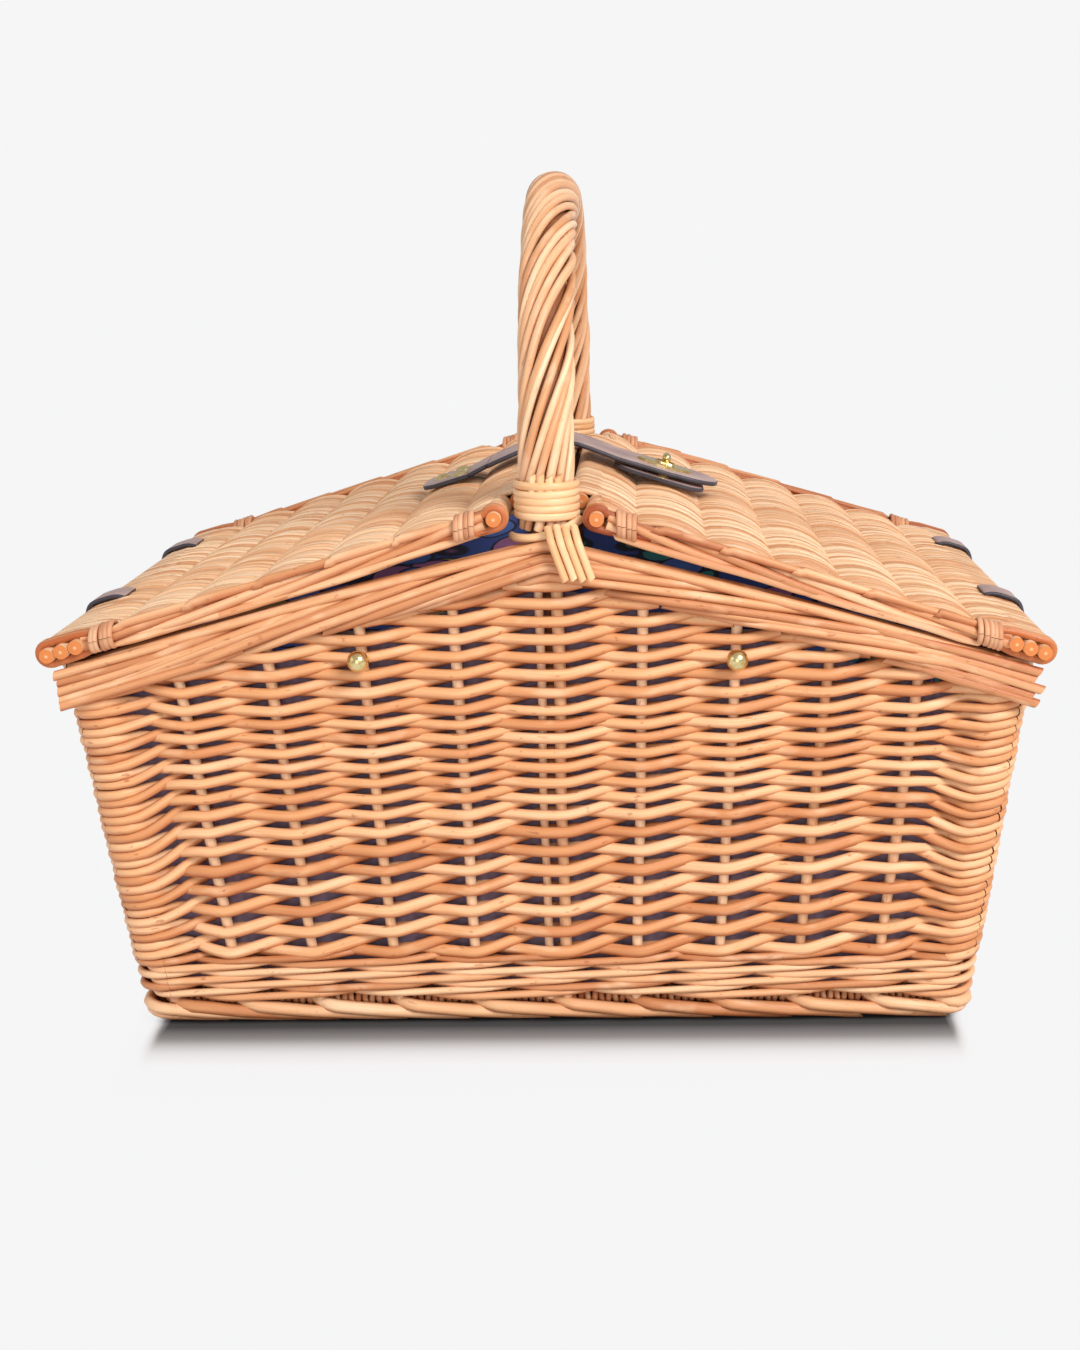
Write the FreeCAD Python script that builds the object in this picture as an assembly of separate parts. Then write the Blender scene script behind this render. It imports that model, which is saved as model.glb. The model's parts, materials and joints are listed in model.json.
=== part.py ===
"""Willow picnic basket with two hinged lids, a roped hoop handle and a leather turn-lock clasp.

Frame: millimetres, +Z up, +X along the length, -Y is the front with the two brass studs.
The origin is the middle of the flat underside that the basket stands on.
"""

import FreeCAD, Part
import math
import os

Vector = FreeCAD.Vector

# Body: a tapered box whose front and back rise to a ridge
BASE_HALF_X = 209.5
BASE_HALF_Y = 127.0
LEAN = 0.0863
CORNER_R = 16.0
MIN_CORNER_R = 1.5
WALL_T = 14.0
FOOT_H = 11.0
WALE_TOP = 36.0
RIDGE_Z = 248.9
SLOPE = 0.2637
BORDER_H = 20.0
BORDER_PROUD = 4.0
BORDER_T = 15.0
FAR = 320.0

# Willow sizes
STAKE_R = 2.4
STAKE_PITCH = 39.5
END_STAKE_PITCH = 38.0
STAKE_FAN = 0.00048
STAKE_DEPTH = 7.0
STAKE_TOP_GAP = 2.5
CENTRE_PAIR = 4.0
POST_R = 3.2
POST_INSET = 19.0
BASE_STICK_R = 3.6
BASE_STICK_PITCH = 52.0
BASE_Z0 = 6.0
BASE_Z1 = 17.2
BASE_INSET = 15.3

# Lining
LINING_INSET = 14.5
LINING_T = 1.2
LINING_DROP = 24.0

# Handle: a bow in the YZ plane, wrapped with roped strands
HOOP_R = 130.0
HOOP_Z = 266.0
ROPE_R = 13.2
BOW_R = 8.0
BOW_LOW_Z = 165.0
BOW_KINK_Z = 240.0
BOW_INSET = 17.7
ROPE_LOW_Z = 252.2
COLLAR_R = 15.2
COLLAR_Z0 = 256.6
COLLAR_Z1 = 274.0
LASH_R = 1.9
LASH_POINTS = ((8.0, 0.0, 231.4), (2.0, 0.0, 251.6), (0.0, 9.2, 254.6))

# Lids, in the lid's own frame: u up the slope, v along Y, w away from the slope
LID_END_X = 229.8
LID_SLOPE_DEG = 16.8
LID_GAP = 1.2
LID_T = 12.6
LID_HALF_Y = 150.0
WEAVE_HALF_Y = 138.0
LID_U0 = 2.0
LID_U1 = 222.3
TONGUE_U = 230.5
TONGUE_HALF_Y = 112.0
STICK_R = 3.35
RIB_R = 3.0
OUTER_STICKS_U = (4.8, 11.8, 18.8)
RIBS_U = (51.0, 84.0, 117.0, 150.0, 183.0)
RIDGE_STICK_U = 218.0
SHORT_STICK_U = 226.3
STICK_W = LID_T / 2
EDGE_Y = (138.6, 148.8)
EDGE_W = (2.4, 11.4)
EDGE_U = (22.6, 213.5)
BINDINGS_U = (26.0, 199.5)
BINDING_L = 10.0
BINDING_T = 1.5

# Leather and brass
LEATHER_T = 2.2
HINGE_Y = (-57.0, 84.0)
HINGE_W = 20.0
HINGE_X = 234.6
HINGE_LOW_Z = 170.0
HINGE_TOP_U = (16.0, 1.0)
HINGE_RIVET_Z = 177.0
RIVET_HEAD_R = 4.7
SMALL_HEAD_R = 3.3
RIVET_SHANK_R = 1.5
RIVET_LOW_W = 9.7
STRAP_HALF_W = 20.0
TAB_HALF_W = 19.0
TAB_U = (169.6, 196.3)
TAB_RIVETS = ((180.0, 0.0), (190.2, -8.5), (190.2, 8.5))
LEATHER_W0 = LID_T + 0.3
BEND_PATH = ((-45.1, 260.4), (-36.9, 264.5))
FLAP_PATH = ((-36.4, 264.7), (-9.0, 276.8), (9.0, 276.8), (30.0, 268.4), (83.0, 252.7))
TIP_X = 83.0
LOCK_U = 188.3
KEEPER_U = (165.4, 214.2)
KEEPER_HALF_W = 23.0
KEEPER_RIVET_V = 17.5
BASE_PLATE_W = (15.2, 16.2)
POST_PIN_R = 1.8
KNOB_PIN_R = 1.0
KNOB_BORE_R = 1.05
POST_TOP_W = 21.0
KNOB_W = 23.4
KNOB_R = 2.2
KNOB_HALF_L = 4.2
EYELET_W = (19.5, 20.6)
EYELET_SIZE = (15.0, 10.0)
SLOT_HALF = (4.7, 2.6)

# Studs and the strap that they hold inside
STUD_Z = 194.0
STUD_R = 5.0
STUD_LEG_R = 0.8
STUD_LEG_X = 3.6
PLATE_STRAP_Z = (184.0, 204.0)
PLATE_STRAP_T = 1.8
PLATE_STRAP_PATH = (
    (-100.0, -125.9),
    (-72.0, -125.9),
    (-22.0, -115.6),
    (22.0, -115.6),
    (72.0, -125.9),
    (100.0, -125.9),
)

LID_COS = math.cos(math.radians(LID_SLOPE_DEG))
LID_SIN = math.sin(math.radians(LID_SLOPE_DEG))

# How far pieces stand proud of, inside or clear of one another
WALE_PROUD = 0.6
FOOT_INSET = 0.4
FOOT_TO_BASE = 0.3
LINING_OVER_BASE = 0.4
BOW_ROOM = 0.6
RIB_SHORT = 0.5
STUD_CLEAR = 0.1

# Hinge straps: height at which they hang straight, and their rivets' heads and shanks
HINGE_TURN_Z = 196.0
HINGE_HEAD_R = RIVET_HEAD_R - 0.7
HINGE_HEAD_H = 1.8
HINGE_SHANK_L = 14.0

# Ball studs: how deep the neck and the legs start, where the legs bend, and the length of their feet
STUD_NECK_IN = 3.2
STUD_LEG_IN = 2.6
STUD_BEND_Y = -123.6
STUD_FOOT_L = 6.0

# Corners of the leather tabs and half sizes of the lock's base plate
TAB_CORNER_R = 11.0
KEEPER_CORNER_R = 12.0
BASE_PLATE_SIZE = (12.0, 8.0)
BORDER_LOW_Z = 140.0


def half_x(z):
    """Half the body's length at height z."""
    return BASE_HALF_X + LEAN * z


def half_y(z):
    """Half the body's depth at height z."""
    return BASE_HALF_Y + LEAN * z


def rim_z(x):
    """Height of the top border's upper face at x."""
    return RIDGE_Z - SLOPE * abs(x)


def fused(shapes):
    """All the shapes as one solid or group."""
    result = shapes[0]
    for shape in shapes[1:]:
        result = result.fuse(shape)
    return result


def box(x0, x1, y0, y1, z0, z1):
    """A box between two corners."""
    return Part.makeBox(x1 - x0, y1 - y0, z1 - z0, Vector(x0, y0, z0))


def rod(start, end, radius):
    """A round stick between two points."""
    axis = Vector(*end) - Vector(*start)
    return Part.makeCylinder(radius, axis.Length, Vector(*start), axis)


def prism(points, direction):
    """A closed outline of points, extruded."""
    corners = [Vector(*p) for p in points]
    wire = Part.makePolygon(corners + [corners[0]])
    return Part.Face(wire).extrude(Vector(*direction))


def solid_from(faces):
    """A closed solid from the corner points of its flat faces."""
    built = []
    for points in faces:
        corners = [Vector(*p) for p in points]
        built.append(Part.Face(Part.makePolygon(corners + [corners[0]])))
    return Part.Solid(Part.Shell(built))


def frustum(z0, z1, inset):
    """The tapered body between two heights, inset from its outer face, with rounded corners."""
    signs = ((1, 1), (-1, 1), (-1, -1), (1, -1))
    low = [(sx * (half_x(z0) - inset), sy * (half_y(z0) - inset), z0) for sx, sy in signs]
    high = [(sx * (half_x(z1) - inset), sy * (half_y(z1) - inset), z1) for sx, sy in signs]
    sides = [(low[i], low[i - 3], high[i - 3], high[i]) for i in range(4)]
    body = solid_from([low[::-1], high] + sides)
    corners = [e for e in body.Edges if abs(e.Vertexes[0].Z - e.Vertexes[1].Z) > 0.1]
    return body.makeFillet(max(CORNER_R - inset, MIN_CORNER_R), corners)


def ring(z0, z1, outer_inset, inner_inset):
    """A tapered wall between two heights."""
    return frustum(z0, z1, outer_inset).cut(frustum(z0 - 1, z1 + 1, inner_inset))


def under_gable(drop):
    """The space under the sloping top, lowered by drop."""
    points = [(-FAR, -FAR, -10), (FAR, -FAR, -10)]
    points += [(x, -FAR, rim_z(x) - drop) for x in (FAR, 0, -FAR)]
    return prism(points, (0, 2 * FAR, 0))


def side_region(side):
    """The vertical wedge that holds one wall, split from its neighbours through the corner posts."""
    a = BASE_HALF_X - BASE_HALF_Y
    if side in ("front", "back"):
        s = -1 if side == "front" else 1
        points = [(-a, 0, -10), (a, 0, -10), (a + FAR, s * FAR, -10), (-a - FAR, s * FAR, -10)]
    else:
        s = -1 if side == "left" else 1
        points = [(s * a, 0, -10), (s * (a + FAR), FAR, -10), (s * (a + FAR), -FAR, -10)]
    return prism(points, (0, 0, 2 * FAR))


def stake(side, x, x_top=None):
    """One upright stake of a wall, from inside the wale up to the border."""
    x_top = x if x_top is None else x_top
    z0 = FOOT_H + 3
    if side in ("front", "back"):
        s = -1 if side == "front" else 1
        z1 = rim_z(x_top * (1 + STAKE_FAN * RIDGE_Z)) - BORDER_H - STAKE_TOP_GAP
        low = (x * (1 + STAKE_FAN * z0), s * (half_y(z0) - STAKE_DEPTH), z0)
        high = (x_top * (1 + STAKE_FAN * z1), s * (half_y(z1) - STAKE_DEPTH), z1)
    else:
        s = -1 if side == "left" else 1
        z1 = rim_z(half_x(RIDGE_Z)) - BORDER_H - STAKE_TOP_GAP
        low = (s * (half_x(z0) - STAKE_DEPTH), x * (1 + STAKE_FAN * z0), z0)
        high = (s * (half_x(z1) - STAKE_DEPTH), x * (1 + STAKE_FAN * z1), z1)
    return rod(low, high, STAKE_R)


def wall_stakes(side):
    """The stakes of one wall as a group."""
    if side in ("front", "back"):
        places = [STAKE_PITCH * k for k in (-4, -3, -2, -1, 1, 2, 3, 4)] + [-CENTRE_PAIR, CENTRE_PAIR]
    else:
        places = [END_STAKE_PITCH * k for k in (-2, -1, 0, 1, 2)]
    return Part.makeCompound([stake(side, x) for x in places])


def corner_posts():
    """The two thicker posts on either side of each rounded corner."""
    z0 = FOOT_H + 3
    z1 = rim_z(half_x(RIDGE_Z)) - BORDER_H - STAKE_TOP_GAP
    posts = []
    for sx in (-1, 1):
        for sy in (-1, 1):
            for inset_x, inset_y in ((POST_INSET, STAKE_DEPTH), (STAKE_DEPTH, POST_INSET)):
                low = (sx * (half_x(z0) - inset_x), sy * (half_y(z0) - inset_y), z0)
                high = (sx * (half_x(z1) - inset_x), sy * (half_y(z1) - inset_y), z1)
                posts.append(rod(low, high, POST_R))
    return Part.makeCompound(posts)


def base_sticks():
    """Five sticks along the length that carry the woven base."""
    x = half_x(BASE_Z0) - BASE_INSET - 4
    z = (BASE_Z0 + BASE_Z1) / 2
    rows = [k * BASE_STICK_PITCH for k in range(-2, 3)]
    return Part.makeCompound([rod((-x, y, z), (x, y, z), BASE_STICK_R) for y in rows])


def bow():
    """The inner rods of the handle: a half hoop whose ends run down inside the walls."""
    torus = Part.makeTorus(HOOP_R, BOW_R, Vector(0, 0, HOOP_Z), Vector(1, 0, 0))
    shapes = [torus.common(box(-FAR, FAR, -FAR, FAR, HOOP_Z, 2 * FAR))]
    for s in (-1, 1):
        low = (0, s * (half_y(BOW_LOW_Z) - BOW_INSET), BOW_LOW_Z)
        kink = (0, s * HOOP_R, BOW_KINK_Z)
        shapes.append(rod(low, kink, BOW_R))
        shapes.append(Part.makeSphere(BOW_R, Vector(*kink)))
        shapes.append(rod(kink, (0, s * HOOP_R, HOOP_Z), BOW_R))
    return fused(shapes)


def roping(radius):
    """The thickness of the roped strands around the bow."""
    torus = Part.makeTorus(HOOP_R, radius, Vector(0, 0, HOOP_Z), Vector(1, 0, 0))
    shapes = [torus.common(box(-FAR, FAR, -FAR, FAR, HOOP_Z, 2 * FAR))]
    for s in (-1, 1):
        shapes.append(rod((0, s * HOOP_R, ROPE_LOW_Z), (0, s * HOOP_R, HOOP_Z), radius))
    return fused(shapes)


def lashing(s):
    """Four rods that tie one end of the bow down over the outside of the border."""
    out_y = half_y(RIDGE_Z) + BORDER_PROUD + LASH_R + 0.3
    shapes = []
    for i in range(4):
        x = 1.0 + i * (2 * LASH_R + 0.1)
        points = [(x + dx, s * (out_y - inward), z) for dx, inward, z in LASH_POINTS]
        shapes.append(rod(points[0], points[1], LASH_R))
        shapes.append(Part.makeSphere(LASH_R, Vector(*points[1])))
        shapes.append(rod(points[1], points[2], LASH_R))
    return shapes


def to_lid(shape):
    """Places a shape made in the lid's own frame onto the left lid's slope."""
    placed = shape.copy()
    origin = Vector(-LID_END_X, 0, rim_z(LID_END_X) + LID_GAP)
    placed.Placement = FreeCAD.Placement(origin, FreeCAD.Rotation(Vector(0, 1, 0), -LID_SLOPE_DEG))
    return placed


def mirrored(shape):
    """The same piece on the other lid."""
    return shape.mirror(Vector(0, 0, 0), Vector(1, 0, 0))


def lid_stick(u, half_length, radius):
    """A stick that runs from front to back through the lid."""
    return rod((u, -half_length, STICK_W), (u, half_length, STICK_W), radius)


def oval(u, w0, w1, half_u, half_v):
    """An oval plate on the lid's slope."""
    ellipse = Part.Ellipse(Vector(u, 0, w0), half_u, half_v)
    return Part.Face(Part.Wire(ellipse.toShape())).extrude(Vector(0, 0, w1 - w0))


def rounded_plate(u0, u1, half_v, w0, w1, radius, edges_at):
    """A flat leather piece whose corners at the given ends are rounded."""
    plate = box(u0, u1, -half_v, half_v, w0, w1)
    corners = [e for e in plate.Edges if abs(e.Vertexes[0].Z - e.Vertexes[1].Z) > 0.1]
    chosen = [e for e in corners if any(abs(e.Vertexes[0].X - u) < 0.1 for u in edges_at)]
    return plate.makeFillet(radius, chosen)


def dome(u, v, w, radius, height):
    """A low domed rivet head standing on height w."""
    ball_r = (radius * radius + height * height) / (2 * height)
    ball = Part.makeSphere(ball_r, Vector(u, v, w + height - ball_r))
    return ball.common(box(u - radius, u + radius, v - radius, v + radius, w, w + height + 1))


def rivet(u, v, w, radius, low_w):
    """A rivet with its head at w and its shank down into the weave."""
    head = dome(u, v, w, radius, 0.45 * radius)
    return head.fuse(rod((u, v, low_w), (u, v, w + 0.1), RIVET_SHANK_R))


def slot_hole(w0, w1):
    """The long hole that the turn knob's bar passes through when it is turned in line."""
    a, b = SLOT_HALF
    hole = box(LOCK_U - a + b, LOCK_U + a - b, -b, b, w0, w1)
    for u in (LOCK_U - a + b, LOCK_U + a - b):
        hole = hole.fuse(rod((u, 0, w0), (u, 0, w1), b))
    return hole


def ribbon(path, thickness, across, start, end):
    """A strip along a path in a plane; across gives a point from (a, b, c); start, end are its sides."""
    normals = []
    for (a0, b0), (a1, b1) in zip(path, path[1:]):
        length = math.hypot(a1 - a0, b1 - b0)
        normals.append(((b0 - b1) / length, (a1 - a0) / length))
    joints = [normals[0]]
    for (p, q), (r, s) in zip(normals, normals[1:]):
        scale = 1 + p * r + q * s
        joints.append(((p + r) / scale, (q + s) / scale))
    joints.append(normals[-1])
    h = thickness / 2
    one = [(a + n * h, b + m * h) for (a, b), (n, m) in zip(path, joints)]
    other = [(a - n * h, b - m * h) for (a, b), (n, m) in zip(path, joints)]
    points = [across(a, b, start) for a, b in one + other[::-1]]
    last = Vector(*across(0, 0, end)) - Vector(*across(0, 0, start))
    return prism(points, (last.x, last.y, last.z))


def upright_strip(path, half_width, y=0.0):
    """A leather strip seen from the front as a path in XZ."""
    return ribbon(path, LEATHER_T, lambda a, b, c: (a, c, b), y - half_width, y + half_width)


def hinge_strap(y):
    """A leather hinge: out of the lid's weave, over the outer sticks and down the end of the border."""
    z0 = rim_z(LID_END_X) + LID_GAP
    w = LEATHER_W0 + LEATHER_T / 2
    top = [(-LID_END_X + u * LID_COS - w * LID_SIN, z0 + u * LID_SIN + w * LID_COS) for u in HINGE_TOP_U]
    path = top + [(-HINGE_X, HINGE_TURN_Z), (-HINGE_X, HINGE_LOW_Z)]
    return upright_strip(path, HINGE_W / 2, y)


def hinge_rivet(y):
    """The brass rivet that holds a leather hinge to the border."""
    face = HINGE_X + LEATHER_T / 2
    head = dome(0, 0, 0, HINGE_HEAD_R, HINGE_HEAD_H)
    turn = FreeCAD.Rotation(Vector(0, 1, 0), -90)
    head.Placement = FreeCAD.Placement(Vector(-face, y, HINGE_RIVET_Z), turn)
    shank = rod((-face, y, HINGE_RIVET_Z), (-face + HINGE_SHANK_L, y, HINGE_RIVET_Z), RIVET_SHANK_R)
    return head.fuse(shank)


def stud(sx):
    """A brass ball whose two legs straddle a stake and open out inside."""
    x = sx * 2 * STAKE_PITCH * (1 + STAKE_FAN * STUD_Z)
    face = -half_y(STUD_Z)
    shapes = [Part.makeSphere(STUD_R, Vector(x, face - STUD_R - STUD_CLEAR, STUD_Z))]
    for k in (-1, 1):
        leg_x = x + k * STUD_LEG_X
        neck = (x, face - STUD_NECK_IN, STUD_Z)
        start = (leg_x, face - STUD_LEG_IN, STUD_Z)
        bend = (leg_x, STUD_BEND_Y, STUD_Z)
        foot = (leg_x + k * STUD_FOOT_L, STUD_BEND_Y, STUD_Z)
        shapes += [rod(a, b, STUD_LEG_R) for a, b in ((start, bend), (neck, start), (bend, foot))]
        shapes += [Part.makeSphere(STUD_LEG_R, Vector(*p)) for p in (start, bend)]
    return fused(shapes)


def body_nodes():
    """Every piece of the fixed body."""
    sides = ("front", "back", "left", "right")
    names = {"front": "front_", "back": "back_", "left": "left_end_", "right": "right_end_"}
    stakes = {side: wall_stakes(side) for side in sides}
    posts = corner_posts()
    handle_bow = bow()
    studs = Part.makeCompound([stud(-1), stud(1)])
    rivets = [hinge_rivet(y) for y in HINGE_Y]
    rivets += [mirrored(r) for r in rivets]
    pierced = [posts, handle_bow, studs]
    wall = ring(WALE_TOP, RIDGE_Z + 1, 0, WALL_T).common(under_gable(BORDER_H))
    border = ring(BORDER_LOW_Z, RIDGE_Z + 8, -BORDER_PROUD, BORDER_T - BORDER_PROUD)
    border = border.common(under_gable(0)).cut(under_gable(BORDER_H))
    nodes = {}
    for side in sides:
        region = side_region(side)
        nodes[names[side] + "wall_weave"] = wall.common(region).cut([stakes[side]] + pierced)
        nodes[names[side] + "top_border"] = border.common(region).cut([handle_bow] + rivets)
        nodes[names[side] + "stakes"] = stakes[side]
    nodes["corner_posts"] = posts
    nodes["side_wale"] = ring(FOOT_H, WALE_TOP, -WALE_PROUD, WALL_T).cut(list(stakes.values()) + [posts])
    nodes["foot_border"] = ring(0, FOOT_H, FOOT_INSET, BASE_INSET - FOOT_TO_BASE)
    sticks = base_sticks()
    nodes["base_sticks"] = sticks
    nodes["base_weave"] = frustum(BASE_Z0, BASE_Z1, BASE_INSET).cut(sticks)
    floor_z = BASE_Z1 + LINING_OVER_BASE
    lining = frustum(floor_z, RIDGE_Z, LINING_INSET)
    lining = lining.cut(frustum(floor_z + LINING_T, RIDGE_Z + 1, LINING_INSET + LINING_T))
    bow_room = []
    for s in (-1, 1):
        low = (0, s * (half_y(BOW_LOW_Z - 2) - BOW_INSET), BOW_LOW_Z - 2)
        bow_room.append(rod(low, (0, s * HOOP_R, BOW_KINK_Z), BOW_R + BOW_ROOM))
    lining = lining.common(under_gable(LINING_DROP)).cut(bow_room + [studs])
    nodes["body_lining"] = lining
    nodes["handle_bow"] = handle_bow
    nodes["handle_roping"] = roping(ROPE_R).cut(handle_bow)
    for side, s in (("front", -1), ("back", 1)):
        whole = rod((0, s * HOOP_R, COLLAR_Z0), (0, s * HOOP_R, COLLAR_Z1), COLLAR_R)
        nodes[side + "_collar"] = whole.cut(roping(ROPE_R)).cut(handle_bow)
        nodes[side + "_lashing"] = fused(lashing(s))
    nodes["wall_studs"] = studs
    strap = ribbon(PLATE_STRAP_PATH, PLATE_STRAP_T, lambda a, b, c: (a, b, c), *PLATE_STRAP_Z)
    nodes["plate_strap"] = strap.cut(studs)
    nodes["hinge_rivets"] = Part.makeCompound(rivets)
    return nodes


def lid_nodes():
    """The pieces that both lids have, made for the left one."""
    outer = [lid_stick(u, LID_HALF_Y, STICK_R) for u in OUTER_STICKS_U]
    ribs = [lid_stick(u, WEAVE_HALF_Y - RIB_SHORT, RIB_R) for u in RIBS_U]
    ridge = [lid_stick(RIDGE_STICK_U, LID_HALF_Y, STICK_R), lid_stick(SHORT_STICK_U, TONGUE_HALF_Y, STICK_R)]
    bars = {}
    bindings = []
    binding_room = []
    y0, y1 = EDGE_Y
    w0, w1 = EDGE_W
    for side, s in (("front", -1), ("back", 1)):
        low, high = sorted((s * y0, s * y1))
        bars[side] = box(*EDGE_U, low, high, w0, w1)
        for u in BINDINGS_U:
            t = BINDING_T
            whole = box(u, u + BINDING_L, low - t, high + t, w0 - t, w1 + t)
            bindings.append(whole.cut(bars[side]))
            binding_room.append(whole)
    weave = box(LID_U0, LID_U1, -WEAVE_HALF_Y, WEAVE_HALF_Y, 0, LID_T)
    weave = weave.fuse(box(LID_U1, TONGUE_U, -TONGUE_HALF_Y, TONGUE_HALF_Y, 0, LID_T)).removeSplitter()
    weave = weave.cut(outer + ribs + ridge + binding_room)
    return {
        "weave": weave,
        "outer_sticks": Part.makeCompound(outer),
        "ribs": Part.makeCompound(ribs),
        "ridge_sticks": Part.makeCompound(ridge),
        "front_edge": bars["front"],
        "back_edge": bars["back"],
        "bindings": Part.makeCompound(bindings),
    }


def clasp_nodes():
    """The clasp strap, its rivets and the turn lock."""
    top_w = LEATHER_W0 + LEATHER_T
    tab_rivets = [rivet(u, v, top_w, RIVET_HEAD_R, RIVET_LOW_W) for u, v in TAB_RIVETS]
    keeper_sides = (-KEEPER_RIVET_V, KEEPER_RIVET_V)
    keeper_rivets = [rivet(LOCK_U, v, top_w, SMALL_HEAD_R, RIVET_LOW_W) for v in keeper_sides]
    tab = rounded_plate(*TAB_U, TAB_HALF_W, LEATHER_W0, top_w, TAB_CORNER_R, [TAB_U[0]])
    keeper = rounded_plate(*KEEPER_U, KEEPER_HALF_W, LEATHER_W0, top_w, KEEPER_CORNER_R, KEEPER_U)
    base = oval(LOCK_U, *BASE_PLATE_W, *BASE_PLATE_SIZE)
    base = base.fuse(rod((LOCK_U, 0, BASE_PLATE_W[0]), (LOCK_U, 0, POST_TOP_W), POST_PIN_R))
    base = base.fuse(rod((LOCK_U, 0, POST_TOP_W - 1), (LOCK_U, 0, KNOB_W + KNOB_R - 0.4), KNOB_PIN_R))
    knob = rod((LOCK_U, -KNOB_HALF_L, KNOB_W), (LOCK_U, KNOB_HALF_L, KNOB_W), KNOB_R)
    knob = knob.fuse(rod((LOCK_U, 0, POST_TOP_W + 0.1), (LOCK_U, 0, KNOB_W), KNOB_R + 0.1))
    knob = knob.cut(rod((LOCK_U, 0, POST_TOP_W), (LOCK_U, 0, KNOB_W + KNOB_R + 1), KNOB_BORE_R))
    eyelet = oval(LOCK_U, *EYELET_W, *EYELET_SIZE).cut(slot_hole(EYELET_W[0] - 1, EYELET_W[1] + 1))
    flap = upright_strip(FLAP_PATH, STRAP_HALF_W)
    plan = box(-60, TIP_X - STRAP_HALF_W, -STRAP_HALF_W, STRAP_HALF_W, 0, 2 * FAR)
    tip_centre = Vector(TIP_X - STRAP_HALF_W, 0, 0)
    plan = plan.fuse(Part.makeCylinder(STRAP_HALF_W, 2 * FAR, tip_centre))
    flap = flap.common(plan).cut(mirrored(to_lid(slot_hole(LID_T, LID_T + 20))))
    return {
        "clasp_tab": to_lid(tab.cut(tab_rivets)),
        "clasp_tab_rivets": to_lid(Part.makeCompound(tab_rivets)),
        "keeper_tab": mirrored(to_lid(keeper.cut(keeper_rivets))),
        "keeper_rivets": mirrored(to_lid(Part.makeCompound(keeper_rivets))),
        "lock_base": mirrored(to_lid(base)),
        "turn_knob": mirrored(to_lid(knob)),
        "lock_plate": mirrored(to_lid(eyelet)),
        "clasp_bend": upright_strip(BEND_PATH, TAB_HALF_W),
        "clasp_flap": flap,
    }


def build():
    """All nodes by name."""
    nodes = body_nodes()
    clasp = clasp_nodes()
    rivets = {"left": clasp["clasp_tab_rivets"], "right": clasp["keeper_rivets"]}
    for name, shape in lid_nodes().items():
        placed = to_lid(shape)
        for side, final in (("left", placed), ("right", mirrored(placed))):
            nodes[f"{side}_lid_{name}"] = final.cut(rivets[side]) if name == "weave" else final
    hinge_rivets = nodes["hinge_rivets"]
    for place, y in zip(("front", "back"), HINGE_Y):
        strap = hinge_strap(y)
        nodes[f"left_{place}_hinge_strap"] = strap.cut(hinge_rivets)
        nodes[f"right_{place}_hinge_strap"] = mirrored(strap).cut(hinge_rivets)
    nodes.update(clasp)
    return nodes


def main():
    os.makedirs("parts", exist_ok=True)
    for name, shape in build().items():
        shape.exportStep(f"parts/{name}.step")
        print(name, "solids", len(shape.Solids), "valid", shape.isValid(), "volume", round(shape.Volume))


main()
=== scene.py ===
import json
import math

import bmesh
import bpy
import numpy as np
from mathutils import Matrix, Vector


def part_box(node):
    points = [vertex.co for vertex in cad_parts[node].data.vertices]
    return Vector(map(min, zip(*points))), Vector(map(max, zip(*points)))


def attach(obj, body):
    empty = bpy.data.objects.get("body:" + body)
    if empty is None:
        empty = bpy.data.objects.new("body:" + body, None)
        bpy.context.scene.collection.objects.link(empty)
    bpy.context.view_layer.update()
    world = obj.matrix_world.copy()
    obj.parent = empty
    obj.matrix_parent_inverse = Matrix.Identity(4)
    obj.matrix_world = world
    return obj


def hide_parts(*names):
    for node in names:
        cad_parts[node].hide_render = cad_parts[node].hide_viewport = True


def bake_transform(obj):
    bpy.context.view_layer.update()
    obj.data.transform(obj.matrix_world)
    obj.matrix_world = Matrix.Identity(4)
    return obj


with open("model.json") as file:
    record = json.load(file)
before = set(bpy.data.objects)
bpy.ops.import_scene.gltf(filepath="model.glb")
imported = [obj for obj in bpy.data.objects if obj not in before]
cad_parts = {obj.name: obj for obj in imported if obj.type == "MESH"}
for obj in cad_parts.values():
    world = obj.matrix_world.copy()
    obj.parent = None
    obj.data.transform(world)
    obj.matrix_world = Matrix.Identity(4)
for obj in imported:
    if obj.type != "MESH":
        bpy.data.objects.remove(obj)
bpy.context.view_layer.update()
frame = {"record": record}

rng = np.random.default_rng(11)
PI = math.pi


def mm(node):
    """A CAD node's box in millimetres."""
    lo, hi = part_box(node)
    return np.array(lo) * 1000, np.array(hi) * 1000


# ---------------------------------------------------------------- sizes read from the frame
foot_hi = mm("foot_border")[1]
wale_hi = mm("side_wale")[1]
rim_hi = mm("front_top_border")[1]
FOOT_INSET, WALE_PROUD = 0.4, 0.6
LEAN = (wale_hi[0] - foot_hi[0] - (WALE_PROUD + FOOT_INSET)) / (wale_hi[2] - foot_hi[2])
HX0 = foot_hi[0] + FOOT_INSET - LEAN * foot_hi[2]
HY0 = foot_hi[1] + FOOT_INSET - LEAN * foot_hi[2]
RIDGE_Z = rim_hi[2]
joints = {j["name"]: j for j in frame["record"]["behaviour"]["joints"]}
knob_axis = joints["knob_turn"]["axis"]
SLOPE = 0.2637
LID_TILT = math.atan(knob_axis[0] / knob_axis[2])
CS, SN = math.cos(LID_TILT), math.sin(LID_TILT)
STICK_W = 6.3
OUTER_U = (4.8, 11.8, 18.8)
ost_lo, ost_hi = mm("left_lid_outer_sticks")
LID_END_X = -(ost_lo[0] + ost_hi[0]) / 2 + OUTER_U[1] * CS - STICK_W * SN
LID_Z = (ost_lo[2] + ost_hi[2]) / 2 - OUTER_U[1] * SN - STICK_W * CS
LID_HALF_Y = ost_hi[1]
STAKE_D = 7.0
CORNER_R = 9.0
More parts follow.
